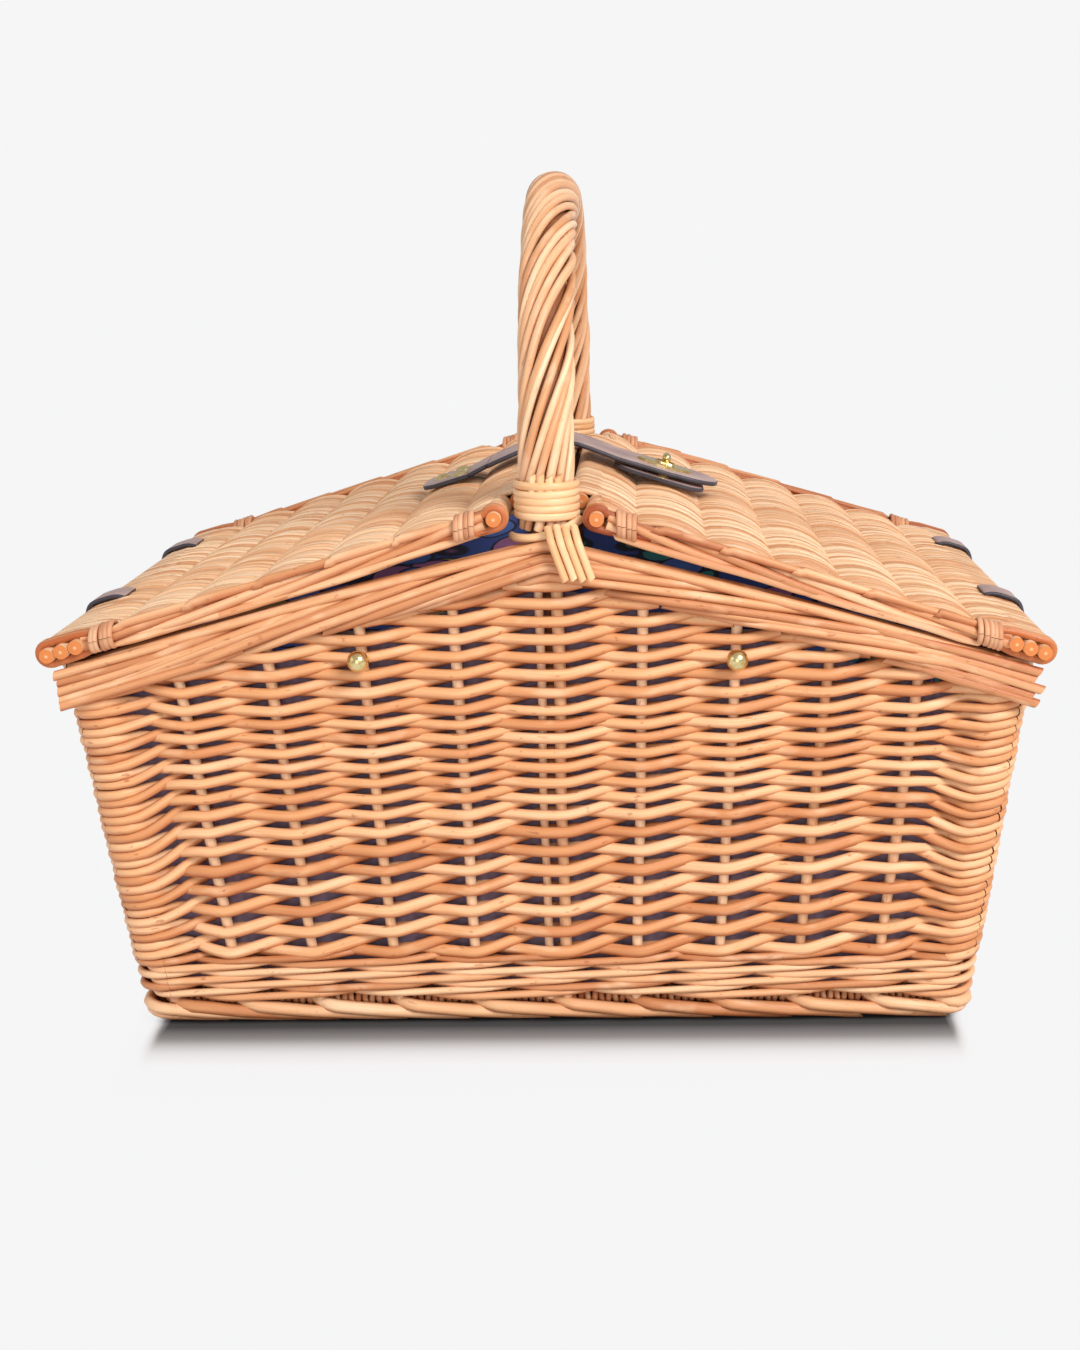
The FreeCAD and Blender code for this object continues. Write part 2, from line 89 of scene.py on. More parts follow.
PITCH, END_PITCH, FAN, POST_IN = 39.5, 38.0, 0.00048, 19.0


def hx(z):
    return HX0 + LEAN * z


def hy(z):
    return HY0 + LEAN * z


def rim(x):
    """The height of the walls' top at x."""
    return RIDGE_Z - SLOPE * np.abs(x)


# ---------------------------------------------------------------- willow rods as swept tubes
def smooth_noise(n, step, seed_rng):
    """A smooth random line of n samples, about one swing per step samples."""
    k = max(2, int(n / step) + 2)
    xs = np.linspace(0, k - 1, n)
    v = seed_rng.uniform(-1, 1, k)
    i = np.clip(xs.astype(int), 0, k - 2)
    f = xs - i
    f = f * f * (3 - 2 * f)
    return v[i] * (1 - f) + v[i + 1] * f


class Rods:
    """Many rods gathered into one mesh."""

    def __init__(self, sides=8):
        self.k = sides
        self.v, self.s, self.r, self.q, self.t, self.n = [], [], [], [], [], 0

    def add(self, P, N, a, b=None, rnd=None, caps=(1, 1), along0=0.0, cut=0.0, dome=0.0):
        """P centre points, N outward directions, a and b the half sizes along N and across it, in mm."""
        P = np.asarray(P, float)
        n = len(P)
        N = np.broadcast_to(np.asarray(N, float), (n, 3))
        a = np.broadcast_to(np.asarray(a, float), (n,))
        b = a if b is None else np.broadcast_to(np.asarray(b, float), (n,))
        T = np.gradient(P, axis=0)
        T /= np.linalg.norm(T, axis=1, keepdims=True) + 1e-9
        A = N - (N * T).sum(1, keepdims=True) * T
        A /= np.linalg.norm(A, axis=1, keepdims=True) + 1e-9
        B = np.cross(T, A)
        th = np.arange(self.k) / self.k * 2 * PI
        ca, sa = np.cos(th), np.sin(th)
        off = a[
            :, None, None
        ] * ca[None, :, None] * A[:, None, :] + b[:, None, None] * sa[None, :, None] * B[:, None, :]
        R = P[:, None, :] + off
        along = np.concatenate([[0], np.cumsum(np.linalg.norm(np.diff(P, axis=0), axis=1))]) + along0
        if cut:
            for e, sgn in ((0, -1), (n - 1, 1)):
                R[e] += sgn * cut * (off[e] @ B[e])[:, None] / max(b[e], 1e-6) * T[e]
        if rnd is None:
            rnd = rng.uniform()
        st = np.stack(
            [np.repeat(along[:, None], self.k, 1), a[:, None] * ca[None, :], b[:, None] * sa[None, :]], 2
        )
        base = self.n
        self.v.append(R.reshape(-1, 3))
        self.s.append(st.reshape(-1, 3))
        i = np.arange(n - 1)[:, None] * self.k
        j = np.arange(self.k)[None, :]
        j2 = (j + 1) % self.k
        quads = np.stack([i + j, i + j2, i + self.k + j2, i + self.k + j], 2).reshape(-1, 4) + base
        self.q.append(quads)
        count = n * self.k
        for e, on in ((0, caps[0]), (n - 1, caps[1])):
            if not on:
                continue
            c = R[e].mean(0) + (T[e] * dome if e else -T[e] * dome)
            self.v.append(np.vstack([R[e], c[None]]))
            ring = np.stack([np.full(self.k, -999.0), a[e] * ca, b[e] * sa], 1)
            self.s.append(np.vstack([ring, [[-999.0, 0, 0]]]))
            m = base + count
            jj = np.arange(self.k)
            tri = np.stack([m + jj, m + (jj + 1) % self.k, np.full(self.k, m + self.k)], 1)
            self.t.append(tri if e else tri[:, ::-1])
            count += self.k + 1
        self.r.append(np.full(count, rnd))
        self.n += count

    def build(self, name, material, node, body="basket", end=None):
        """Makes the rods' mesh in place of a CAD node; end is the material of the cut ends."""
        V = np.vstack(self.v) * 0.001
        Q = np.vstack(self.q)[:, ::-1]
        Tr = np.vstack(self.t)[:, ::-1] if self.t else np.zeros((0, 3), int)
        mesh = bpy.data.meshes.new(name)
        mesh.vertices.add(len(V))
        mesh.vertices.foreach_set("co", V.astype(np.float32).ravel())
        loops = np.concatenate([Q.ravel(), Tr.ravel()]).astype(np.int32)
        mesh.loops.add(len(loops))
        mesh.loops.foreach_set("vertex_index", loops)
        starts = np.concatenate([np.arange(len(Q)) * 4, len(Q) * 4 + np.arange(len(Tr)) * 3]).astype(np.int32)
        mesh.polygons.add(len(starts))
        mesh.polygons.foreach_set("loop_start", starts)
        mesh.polygons.foreach_set(
            "use_smooth", np.concatenate([np.ones(len(Q), bool), np.zeros(len(Tr), bool)])
        )
        mesh.materials.append(material)
        mesh.materials.append(m_cut if end is None else end)
        idx = np.concatenate([np.zeros(len(Q), np.int32), np.ones(len(Tr), np.int32)])
        mesh.polygons.foreach_set("material_index", idx)
        at = mesh.attributes.new("strand", "FLOAT_VECTOR", "POINT")
        at.data.foreach_set("vector", np.vstack(self.s).astype(np.float32).ravel())
        at = mesh.attributes.new("rnd", "FLOAT", "POINT")
        at.data.foreach_set("value", np.concatenate(self.r).astype(np.float32))
        mesh.update(calc_edges=True)
        mesh.validate()
        return place(mesh, name, body, [node])


def place(mesh, name, body, nodes, blend=None):
    """Adds a mesh to the scene in place of its CAD nodes, on its body, or on no body when blend is given."""
    obj = bpy.data.objects.new(name, mesh)
    bpy.context.scene.collection.objects.link(obj)
    if blend:
        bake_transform(obj)
    else:
        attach(obj, body)
    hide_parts(*nodes)
    return obj


# ---------------------------------------------------------------- materials
class Nodes:
    """A material and short ways to add nodes to it."""

    def __init__(self, name):
        self.m = bpy.data.materials.new(name)
        self.m.use_nodes = True
        self.t = self.m.node_tree
        self.b = self.t.nodes["Principled BSDF"]

    def new(self, kind, **props):
        n = self.t.nodes.new(kind)
        for k, v in props.items():
            setattr(n, k, v)
        return n

    def link(self, a, b):
        self.t.links.new(a, b)

    def math(self, op, a, b=None):
        n = self.new("ShaderNodeMath", operation=op)
        for i, x in enumerate((a, b)):
            if x is None:
                continue
            if isinstance(x, (int, float)):
                n.inputs[i].default_value = x
            else:
                self.link(x, n.inputs[i])
        return n.outputs[0]

    def vmath(self, op, a, b):
        n = self.new("ShaderNodeVectorMath", operation=op)
        for i, x in enumerate((a, b)):
            if isinstance(x, tuple):
                n.inputs[i].default_value = x
            else:
                self.link(x, n.inputs[i])
        return n.outputs[0]

    def noise(self, vec, scale, detail=2.0, rough=0.5):
        n = self.new("ShaderNodeTexNoise")
        n.inputs["Scale"].default_value = scale
        n.inputs["Detail"].default_value = detail
        n.inputs["Roughness"].default_value = rough
        self.link(vec, n.inputs["Vector"])
        return n.outputs["Fac"]

    def ramp(self, fac, stops):
        """Stops are (position, colour) or (position, grey)."""
        n = self.new("ShaderNodeValToRGB")
        e = n.color_ramp.elements
        while len(e) < len(stops):
            e.new(0.5)
        for el, (p, c) in zip(e, stops):
            el.position = p
            el.color = (c, c, c, 1) if isinstance(c, (int, float)) else (*c, 1)
        self.link(fac, n.inputs[0])
        return n.outputs["Color"]

    def mix(self, fac, a, b, mode="MIX"):
        n = self.new("ShaderNodeMix", data_type="RGBA", blend_type=mode)
        for i, x in ((0, fac), (6, a), (7, b)):
            if isinstance(x, (int, float)):
                n.inputs[i].default_value = x
            elif isinstance(x, tuple):
                n.inputs[i].default_value = (*x, 1)
            else:
                self.link(x, n.inputs[i])
        return n.outputs[2]

    def bump(self, height, strength, distance):
        n = self.new("ShaderNodeBump")
        n.inputs["Strength"].default_value = strength
        n.inputs["Distance"].default_value = distance
        self.link(height, n.inputs["Height"])
        self.link(n.outputs[0], self.b.inputs["Normal"])


def lin(r, g, b):
    """sRGB 0-255 to linear."""
    out = []
    for c in (r, g, b):
        c = c / 255
        out.append(c / 12.92 if c <= 0.04045 else ((c + 0.055) / 1.055) ** 2.4)
    return tuple(out)


def willow(name, tones, rough=0.42, marks=0.35, under=0.0):
    """Peeled willow: a tone per rod, streaks, soft patches, brown marks, and painted shade on each rod's
    underside and inward side.
    """
    tones = [lin(*tone) for tone in tones]
    w = Nodes(name)
    st = w.new("ShaderNodeAttribute", attribute_name="strand").outputs["Vector"]
    rnd = w.new("ShaderNodeAttribute", attribute_name="rnd").outputs["Fac"]
    comb = w.new("ShaderNodeCombineXYZ")
    for i, k in enumerate((913.0, 377.0, 571.0)):
        w.link(w.math("MULTIPLY", rnd, k), comb.inputs[i])
    offset = comb.outputs[0]

    def space(sx, sy):
        return w.vmath("ADD", w.vmath("MULTIPLY", st, (sx, sy, sy)), offset)

    tone = w.math(
        "ADD", w.math("MULTIPLY", rnd, 0.8), w.math("MULTIPLY", w.noise(space(0.014, 0.03), 1.0, 2), 0.4)
    )
    col = w.ramp(tone, [(i / (len(tones) - 1), c) for i, c in enumerate(tones)])
    streak = w.noise(space(0.035, 1.5), 1.0, 3, 0.6)
    col = w.mix(
        0.5, col, w.ramp(streak, [(0.3, (0.42, 0.33, 0.26)), (0.5, 0.5), (0.72, (0.62, 0.62, 0.60))]),
        "OVERLAY"
    )
    patch = w.noise(space(0.045, 0.12), 1.0, 2)
    col = w.mix(w.ramp(patch, [(0.56, 0), (0.74, 0.55)]), col, tones[0])
    spot = w.noise(space(0.16, 0.42), 1.0, 2, 0.6)
    mark = w.math("MULTIPLY", w.ramp(spot, [(0.66, 0), (0.73, 1)]), marks)
    col = w.mix(mark, col, lin(158, 80, 38))
    # painted shade: each rod's underside and its inward side are darkened towards a deep orange, standing in
    # for the shade and warm bounce between the rods; under sets how strong it is
    if under:
        part = w.new("ShaderNodeSeparateXYZ")
        w.link(st, part.inputs[0])
        low = w.ramp(
            w.math("ADD", w.math("MULTIPLY", part.outputs[2], 0.16), 0.5), [(0.45, 0), (0.95, under)]
        )
        inward_painted_shade = w.ramp(
            w.math("ADD", w.math("MULTIPLY", part.outputs[1], -0.2), 0.5), [(0.35, 0), (0.8, under)]
        )
        shade = w.new("ShaderNodeMix", data_type="RGBA", blend_type="LIGHTEN")
        shade.inputs[0].default_value = 1.0
        w.link(low, shade.inputs[6])
        w.link(inward_painted_shade, shade.inputs[7])
        col = w.mix(shade.outputs[2], col, w.mix(1.0, col, (0.6, 0.28, 0.13), "MULTIPLY"))
    w.link(col, w.b.inputs["Base Color"])
    w.link(w.math("ADD", w.math("MULTIPLY", streak, 0.25), rough - 0.1), w.b.inputs["Roughness"])
    w.b.inputs["Specular IOR Level"].default_value = 0.42
    fine = w.noise(space(0.12, 2.6), 1.0, 3, 0.65)
    wave = w.noise(space(0.09, 0.25), 1.0, 2)
    w.bump(w.math("ADD", w.math("MULTIPLY", fine, 0.5), wave), 0.5, 0.0006)
    return w.m


def end_grain(name, rim_col, mid_col, pith_col):
    """The cut end of a rod: rings around a pale pith."""
    w = Nodes(name)
    st = w.new("ShaderNodeAttribute", attribute_name="strand").outputs["Vector"]
    flat = w.vmath("MULTIPLY", st, (0.0, 1.0, 1.0))
    length = w.new("ShaderNodeVectorMath", operation="LENGTH")
    w.link(flat, length.inputs[0])
    r = length.outputs["Value"]
    wob = w.math("ADD", r, w.math("MULTIPLY", w.noise(flat, 1.4, 2), 0.5))
    col = w.ramp(
        w.math("MULTIPLY", wob, 0.22),
        [(0.0, pith_col), (0.17, pith_col), (0.26, mid_col), (0.7, mid_col), (0.9, rim_col)]
    )
    ringn = w.math("SINE", w.math("MULTIPLY", wob, 9.0))
    col = w.mix(w.math("ADD", w.math("MULTIPLY", ringn, 0.08), 0.1), col, rim_col)
    col = w.mix(w.math("MULTIPLY", w.noise(w.vmath("ADD", flat, st), 3.0, 3), 0.4), col, rim_col)
    w.link(col, w.b.inputs["Base Color"])
    w.b.inputs["Roughness"].default_value = 0.75
    w.bump(w.noise(flat, 4.0, 4, 0.7), 0.5, 0.0004)
    return w.m


# The last number given to the wall, lid, rim and handle willows sets the painted shade on their rods'
# undersides and inward sides.
m_wall = willow(
    "willow_wall", [(248, 204, 162), (236, 178, 128), (224, 158, 106), (204, 132, 82)], 0.42, 0.55, 0.95
)
# The lid's tones are paler and less saturated than the walls': partly the lid's own willow, partly a painted
# sheen for the light on its top.
m_lid = willow(
    "willow_lid", [(255, 230, 198), (248, 212, 172), (236, 188, 143), (210, 150, 102)], 0.36, 0.4, 0.3
)
m_rim = willow(
    "willow_rim", [(248, 208, 168), (234, 180, 134), (220, 156, 108), (192, 122, 76)], 0.4, 0.5, 0.95
)
m_handle = willow(
    "willow_handle", [(252, 224, 188), (244, 204, 164), (230, 176, 130), (202, 140, 92)], 0.34, 0.3, 0.5
)
m_stake = willow("willow_stake", [(252, 214, 176), (244, 198, 156), (230, 176, 130)], 0.45, 0.3)
m_dark = willow("willow_dark", [(176, 118, 74), (158, 98, 58), (140, 84, 50)], 0.5, 0.4)
m_pink = willow("willow_post", [(214, 164, 130), (200, 146, 112)], 0.5, 0.3)
m_wrap = willow("willow_wrap", [(250, 212, 168), (240, 190, 140), (224, 166, 112)], 0.34, 0.15)
m_bind = willow("willow_binding", [(228, 178, 140), (212, 152, 112), (190, 126, 88)], 0.45, 0.35)
m_cut = end_grain("cut_end", lin(196, 132, 84), lin(226, 172, 122), lin(240, 200, 156))
m_stick_end = end_grain("stick_end", lin(190, 96, 44), lin(226, 138, 72), lin(246, 200, 150))


def leather(name, tone, dark):
    """Leather with a pebbled grain, creases and worn, cloudy patches."""
    w = Nodes(name)
    co = w.new("ShaderNodeTexCoord").outputs["Object"]
    pebble = w.new("ShaderNodeTexVoronoi", feature="DISTANCE_TO_EDGE")
    pebble.inputs["Scale"].default_value = 900
    w.link(co, pebble.inputs["Vector"])
    crease = w.noise(co, 160, 4, 0.6)
    cloud = w.noise(co, 45, 3)
    col = w.mix(w.ramp(cloud, [(0.35, 0), (0.7, 1)]), tone, dark)
    col = w.mix(w.ramp(crease, [(0.55, 0), (0.75, 0.35)]), col, dark)
    w.link(col, w.b.inputs["Base Color"])
    w.link(w.math("ADD", w.math("MULTIPLY", crease, 0.3), 0.32), w.b.inputs["Roughness"])
    w.bump(w.math("ADD", w.math("MULTIPLY", pebble.outputs["Distance"], 0.6), crease), 0.35, 0.0004)
    return w.m


m_leather = leather("leather_top", lin(196, 166, 158), lin(160, 130, 126))
m_leather_edge = leather("leather_edge", lin(70, 66, 74), lin(44, 40, 48))


def brass_material():
    """Pale brass with a faintly uneven polish."""
    w = Nodes("pale_brass")
    co = w.new("ShaderNodeTexCoord").outputs["Object"]
    cloud = w.noise(co, 260, 3, 0.6)
    fine = w.noise(co, 1500, 2)
    w.link(
        w.ramp(cloud, [(0.3, lin(196, 168, 104)), (0.6, lin(232, 212, 156)), (0.8, lin(214, 190, 128))]),
        w.b.inputs["Base Color"]
    )
    w.b.inputs["Metallic"].default_value = 1.0
    w.link(w.math("ADD", w.math("MULTIPLY", cloud, 0.18), 0.16), w.b.inputs["Roughness"])
    w.bump(w.math("ADD", fine, cloud), 0.12, 0.0002)
    return w.m


m_brass = brass_material()


# scale, turn, colour and shift of each layer of leaves
LEAVES = (
    (21, 0.5, lin(60, 170, 160), 0.0),
    (17, -0.7, lin(170, 166, 92), 3.1),
    (23, 1.3, lin(200, 126, 176), 7.7),
    (26, 2.2, lin(90, 130, 214), 11.3),
)
# painted light: the print glows faintly in its own colour, so that it shows in the shaded gap inside the
# basket
PRINT_PAINTED_LIGHT = 0.06


def lining_material(name, printed):
    """Cotton: leaves in blue, teal, olive and pink on one face, the lilac reverse on the other; the print
    also glows faintly as painted light.
    """
    w = Nodes(name)
    co = w.new("ShaderNodeTexCoord").outputs["Object"]
    warp = w.noise(co, 2200, 2)
    if printed:
        geo = w.new("ShaderNodeAttribute", attribute_name="cloth").outputs["Vector"]
        bend = w.new("ShaderNodeTexNoise")
        bend.inputs["Scale"].default_value = 14
        w.link(geo, bend.inputs["Vector"])
        moved = w.vmath("ADD", geo, w.vmath("MULTIPLY", bend.outputs["Color"], (0.03, 0.03, 0.0)))
        col = lin(62, 92, 176)
        for scale, ang, tint, seed in LEAVES:
            mp = w.new("ShaderNodeMapping")
            mp.inputs["Rotation"].default_value = (0, 0, ang)
            mp.inputs["Location"].default_value = (seed, seed * 0.37, 0)
            mp.inputs["Scale"].default_value = (1.0, 2.6, 1.0)
            w.link(moved, mp.inputs["Vector"])
            vo = w.new("ShaderNodeTexVoronoi", feature="F1")
            vo.inputs["Scale"].default_value = scale
            vo.inputs["Randomness"].default_value = 0.75
            w.link(mp.outputs[0], vo.inputs["Vector"])
            d = vo.outputs["Distance"]
            fill = w.ramp(d, [(0.40, 1), (0.415, 0)])
            line = w.ramp(d, [(0.37, 0), (0.385, 1), (0.42, 1), (0.435, 0)])
            tone = w.mix(w.ramp(d, [(0.0, 1), (0.25, 0)]), tint, tuple(min(1, c * 1.7 + 0.02) for c in tint))
            col = w.mix(fill, col, tone)
            col = w.mix(line, col, lin(24, 28, 52))
    else:
        wave = w.new("ShaderNodeTexWave", wave_type="BANDS", bands_direction="X")
        wave.inputs["Scale"].default_value = 60
        wave.inputs["Distortion"].default_value = 6
        w.link(co, wave.inputs["Vector"])
        cloud = w.noise(co, 30, 3)
        col = w.mix(w.math("MULTIPLY", wave.outputs["Fac"], 0.35), lin(176, 150, 172), lin(132, 110, 140))
        col = w.mix(w.ramp(cloud, [(0.4, 0), (0.7, 0.6)]), col, lin(128, 122, 150))
    col = w.mix(w.math("MULTIPLY", warp, 0.25), col, (0.5, 0.48, 0.52))
    w.link(col, w.b.inputs["Base Color"])
    w.b.inputs["Roughness"].default_value = 0.9
    w.b.inputs["Specular IOR Level"].default_value = 0.15
    # painted light: a faint glow in the print's own colour
    if printed:
        w.link(col, w.b.inputs["Emission Color"])
        w.b.inputs["Emission Strength"].default_value = PRINT_PAINTED_LIGHT
    w.bump(warp, 0.4, 0.0003)
    return w.m


m_print = lining_material("lining_print", True)
m_lilac = lining_material("lining_reverse", False)


# ---------------------------------------------------------------- the line of the stakes round the body
def plan(z):
    """Half sizes of the stake line, its straight halves, its corner arc and its length round, at height z."""
    HX, HY = hx(z) - STAKE_D, hy(z) - STAKE_D
    A, B = HX - CORNER_R, HY - CORNER_R
    arc = PI * CORNER_R / 2
    return HX, HY, A, B, arc, 4 * A + 4 * B + 4 * arc


def around(s, z, off):
    """Points at distance s round the stake line, at height z, moved outward by off, with their directions."""
    s, z, off = np.broadcast_arrays(np.asarray(s, float), np.asarray(z, float), np.asarray(off, float))
    HX, HY, A, B, arc, L = plan(z)
    t = (s + A) % L
    r = CORNER_R
    e1 = 2 * A
    e2 = e1 + arc
    e3 = e2 + 2 * B
    e4 = e3 + arc
    e5 = e4 + 2 * A
    e6 = e5 + arc
    e7 = e6 + 2 * B
    f1, f2, f3, f4 = (t - e1) / r, (t - e3) / r, (t - e5) / r, (t - e7) / r
    cond = [t < e1, t < e2, t < e3, t < e4, t < e5, t < e6, t < e7]
    zero, one = np.zeros_like(t), np.ones_like(t)
    nx = np.select(cond, [zero, np.sin(f1), one, np.cos(f2), zero, -np.sin(f3), -one], -np.cos(f4))
    ny = np.select(cond, [-one, -np.cos(f1), zero, np.sin(f2), one, np.cos(f3), zero], -np.sin(f4))
    x = np.select(
        cond, [t - A, A + r * np.sin(f1), HX, A + r * np.cos(f2), A - (t - e4), -A - r * np.sin(f3), -HX],
        -A - r * np.cos(f4)
    )
    y = np.select(
        cond,
        [-HY, -B - r * np.cos(f1), -B + (t - e2), B + r * np.sin(f2), HY, B + r * np.cos(f3), B - (t - e6)],
        -B - r * np.sin(f4)
    )
    P = np.stack([x + nx * off, y + ny * off, z], -1)
    N = np.stack([nx, ny, np.full_like(nx, -LEAN)], -1)
    return P, N


STAKES = 36
CORNER_GAPS = (10, 17, 28, 35)
PAIRS = (5, 23)
BESIDE_PAIR = 0.86
LONG_WALLS = ("front", "back")
REF_Z = 185.0


def stake_s(z):
    """Distance round the body of each stake and post at height z: 37 rows."""
    z = np.asarray(z, float)
    A, B, arc, L = plan(z)[2:]
    g = 1 + FAN * z
    walls = (
        (0.0, hx(z), PITCH, 4),
        (A + arc + B, hy(z), END_PITCH, 2),
        (A + arc + 2 * B + arc + A, hx(z), PITCH, 4),
        (A + arc + 2 * B + arc + 2 * A + arc + B, hy(z), END_PITCH, 2),
    )
    rows = []
    for c, half, pitch, side in walls:
        rows += [c - (half - POST_IN)] + [c + k * pitch * g for k in range(-side, side + 1)]
        rows.append(c + half - POST_IN)
    rows.append(rows[0] + L)
    return np.array([np.broadcast_to(r, z.shape) for r in rows])


def s_at(u, z):
    """Distance round the body at stake number u, which may lie between stakes."""
    S = stake_s(z)
    L = plan(z)[5]
    lap = np.floor(u / STAKES)
    v = u - lap * STAKES
    i = np.clip(v.astype(int), 0, STAKES - 1)
    f = v - i
    k = np.arange(len(u))
    return S[i, k] * (1 - f) + S[i + 1, k] * f + lap * L


def gap_shape(u, w):
    """Depth from -1 inside to 1 outside, and height in rows, of one of the two kinds of weaver.

    A rod lies level in front of its stake, climbs to the right, goes behind the next one and comes out
    level, a row higher.
    """
    i = np.floor(u).astype(int)
    f = u - i
    ii = i % STAKES
    f = np.where(np.isin(ii + 1, PAIRS), np.clip(f / BESIDE_PAIR, 0, 1), f)
    f = np.where(np.isin(ii, PAIRS), np.clip((f - 0.14) / BESIDE_PAIR, 0, 1), f)
    front = (ii + w) % 2 == 0
    corner = np.isin(ii, CORNER_GAPS)
    before = np.isin((ii + 1) % STAKES, CORNER_GAPS) & front
    after = np.isin((ii - 1) % STAKES, CORNER_GAPS) & ~front
    d = np.where(front, 1, -1) * (1 - 2 * f**1.15)
    climb = np.interp(f, [0, 0.08, 1], [0, 0.02, 0.85])
    level = np.interp(f, [0, 0.15, 0.3, 1], [-0.15, -0.05, 0, 0])
    h = np.where(front, climb, level)
    d = np.where(corner, 1.0, d)
    h = np.where(corner, 0.5 * f - np.where(front, 0, 0.5), h)
    d = np.where(before, np.interp(f, [0, 0.3, 0.55, 0.78, 0.9, 1], [1, 0.5, -0.6, -0.8, 0.4, 1]), d)
    h = np.where(before, np.interp(f, [0, 0.75, 1], [0, 0.45, 0.5]), h)
    d = np.where(after, np.interp(f, [0, 0.1, 0.22, 0.45, 0.7, 1], [1, 0.4, -0.8, -0.6, 0.5, 1]), d)
    h = np.where(after, np.interp(f, [0, 0.25, 1], [0.5, 0.42, 0]), h)
    return d, h


def row_number(u, w):
    """The row a rod is on in each gap: one more every two stakes, except where it turns in after a corner."""
    i = np.floor(u).astype(int)
    n = (i + 1) // 2 if w == 0 else i // 2
    for c in (-8, -1, 10, 17, 28):
        if (c + w) % 2 == 0:
            n = n - (i > c)
    return n


def corner_weight(u):
    """1 in a corner gap, falling to 0 one stake away."""
    w = np.zeros_like(u)
    for c in CORNER_GAPS:
        for shift in (-STAKES, 0, STAKES):
            a = u - (c + shift)
            w = np.maximum(w, np.clip(1 - np.maximum(-a, a - 1), 0, 1))
    return w * w * (3 - 2 * w)


def smoothed(x, k):
    """A short running mean that keeps the ends."""
    pad = np.pad(x, k, mode="edge")
    return np.convolve(pad, np.ones(2 * k + 1) / (2 * k + 1), "valid")


course_z = [40.5]
while course_z[-1] < 161:
    z = course_z[-1]
    course_z.append(z + float(np.interp(z, [40, 80, 115, 150], [11.4, 10.8, 8.4, 7.1])))
COURSES = len(course_z)
corner_z = np.linspace(41.0, course_z[-1] + 0.5, COURSES)

row_z = list(course_z)
while row_z[-1] < RIDGE_Z - 12:
    row_z.append(row_z[-1] + 8.6)
row_z = np.array([course_z[0] - 11.4] + row_z)
post_z = corner_z[0] + (corner_z[1] - corner_z[0]) * np.arange(-1, len(row_z) - 1)

WALLS = {"front": (-0.5, 10.5), "right_end": (10.5, 17.5), "back": (17.5, 28.5), "left_end": (-7.5, -0.5)}
PER_GAP = 20


def runs(keep):
    """The unbroken stretches of a mask, as slices."""
    edges = np.flatnonzero(np.diff(np.concatenate([[0], keep.astype(int), [0]])))
    return [slice(a, b) for a, b in zip(edges[::2], edges[1::2])]


def wall_rods(rods, u0, u1, gable):
    """The weavers of a wall from stake u0 to u1, in two kinds that take turns; a gable rises to the ridge."""
    n = int(round((u1 - u0) * PER_GAP)) + 1
    u = np.linspace(u0, u1, n)
    cw = corner_weight(u)
    rows = len(row_z) - 1 if gable else COURSES
    for w in (0, 1):
        d, h = gap_shape(u, w)
        number = row_number(u, w)
        for m in range(-number.max() - 1, rows - number.min() + 1):
            g = np.random.default_rng(3000 + 2 * m + w)
            tone = g.uniform()
            row = m + number
            q = np.clip(row + h + 1, 0, len(row_z) - 1)
            index = np.arange(len(row_z))
            zz = np.interp(q, index, row_z) * (1 - cw) + np.interp(q, index, post_z) * cw
            zz = smoothed(zz + 0.4 * smooth_noise(n, 50, g), 1)
            b = np.interp(zz, [40, 85, 125, 165, 175], [3.3, 3.15, 2.65, 2.5, 2.8]) * (1 - cw) + 2.45 * cw
            b = b * (1 + 0.1 * smooth_noise(n, 90, g))
            a = np.minimum(0.78 * b, 2.3)
            P, N = around(s_at(u, zz), zz, smoothed(smoothed((2.5 + a) * d, 2), 1) + 1.6 * cw * zz / 170)
            for sl in runs((row >= 0) & (row < rows) & (zz < rim(P[:, 0]) - 15.5)):
                if sl.stop - sl.start > 5:
                    rods.add(P[sl], N[sl], a[sl], b[sl], rnd=tone, caps=(0, 0), along0=sl.start * 2.0)


for wall, (u0, u1) in WALLS.items():
    rods = Rods(8)
    wall_rods(rods, u0, u1, wall in LONG_WALLS)
    rods.build(wall + "_weave", m_wall, wall + "_wall_weave")

# ---------------------------------------------------------------- stakes and posts
STAKE_LOW_Z, STAKE_SHORT, POST_R = 13, 17.0, 3.1
WALL_TOP_Z, END_TOP_Z = 200.0, 170.0


def stake_top(i):
    """The height of the walls' top over a stake."""
    x = around(stake_s(np.array([WALL_TOP_Z]))[i], WALL_TOP_Z, 0)[0][0, 0]
    return rim(x) if 0 < i < 10 or 18 < i < 28 else rim(hx(END_TOP_Z))


ranges = {"front": range(1, 10), "right_end": range(12, 17), "back": range(19, 28), "left_end": range(30, 35)}
for wall, ids in ranges.items():
    rods = Rods(10)
    for i in ids:
        pair = ((-4.2, 2.1), (4.2, 2.9)) if i in PAIRS else ((0.0, 2.6),)
        for shift, r in pair:
            z = np.linspace(STAKE_LOW_Z, stake_top(i) - STAKE_SHORT, 26)
            g = np.random.default_rng(77 + i)
            s = stake_s(z)[i] + shift + 0.5 * smooth_noise(26, 7, g)
            P, N = around(s, z, 0.3 * smooth_noise(26, 6, g))
            rods.add(P, N, r * (1 + 0.05 * smooth_noise(26, 5, g)))
    rods.build(wall + "_stake_rods", m_stake, wall + "_stakes")
rods = Rods(10)
for i in (0, 10, 11, 17, 18, 28, 29, 35):
    z = np.linspace(STAKE_LOW_Z, stake_top(i) - STAKE_SHORT, 26)
    P, N = around(stake_s(z)[i], z, 0.0)
    rods.add(P, N, POST_R)
rods.build("corner_post_rods", m_pink, "corner_posts")

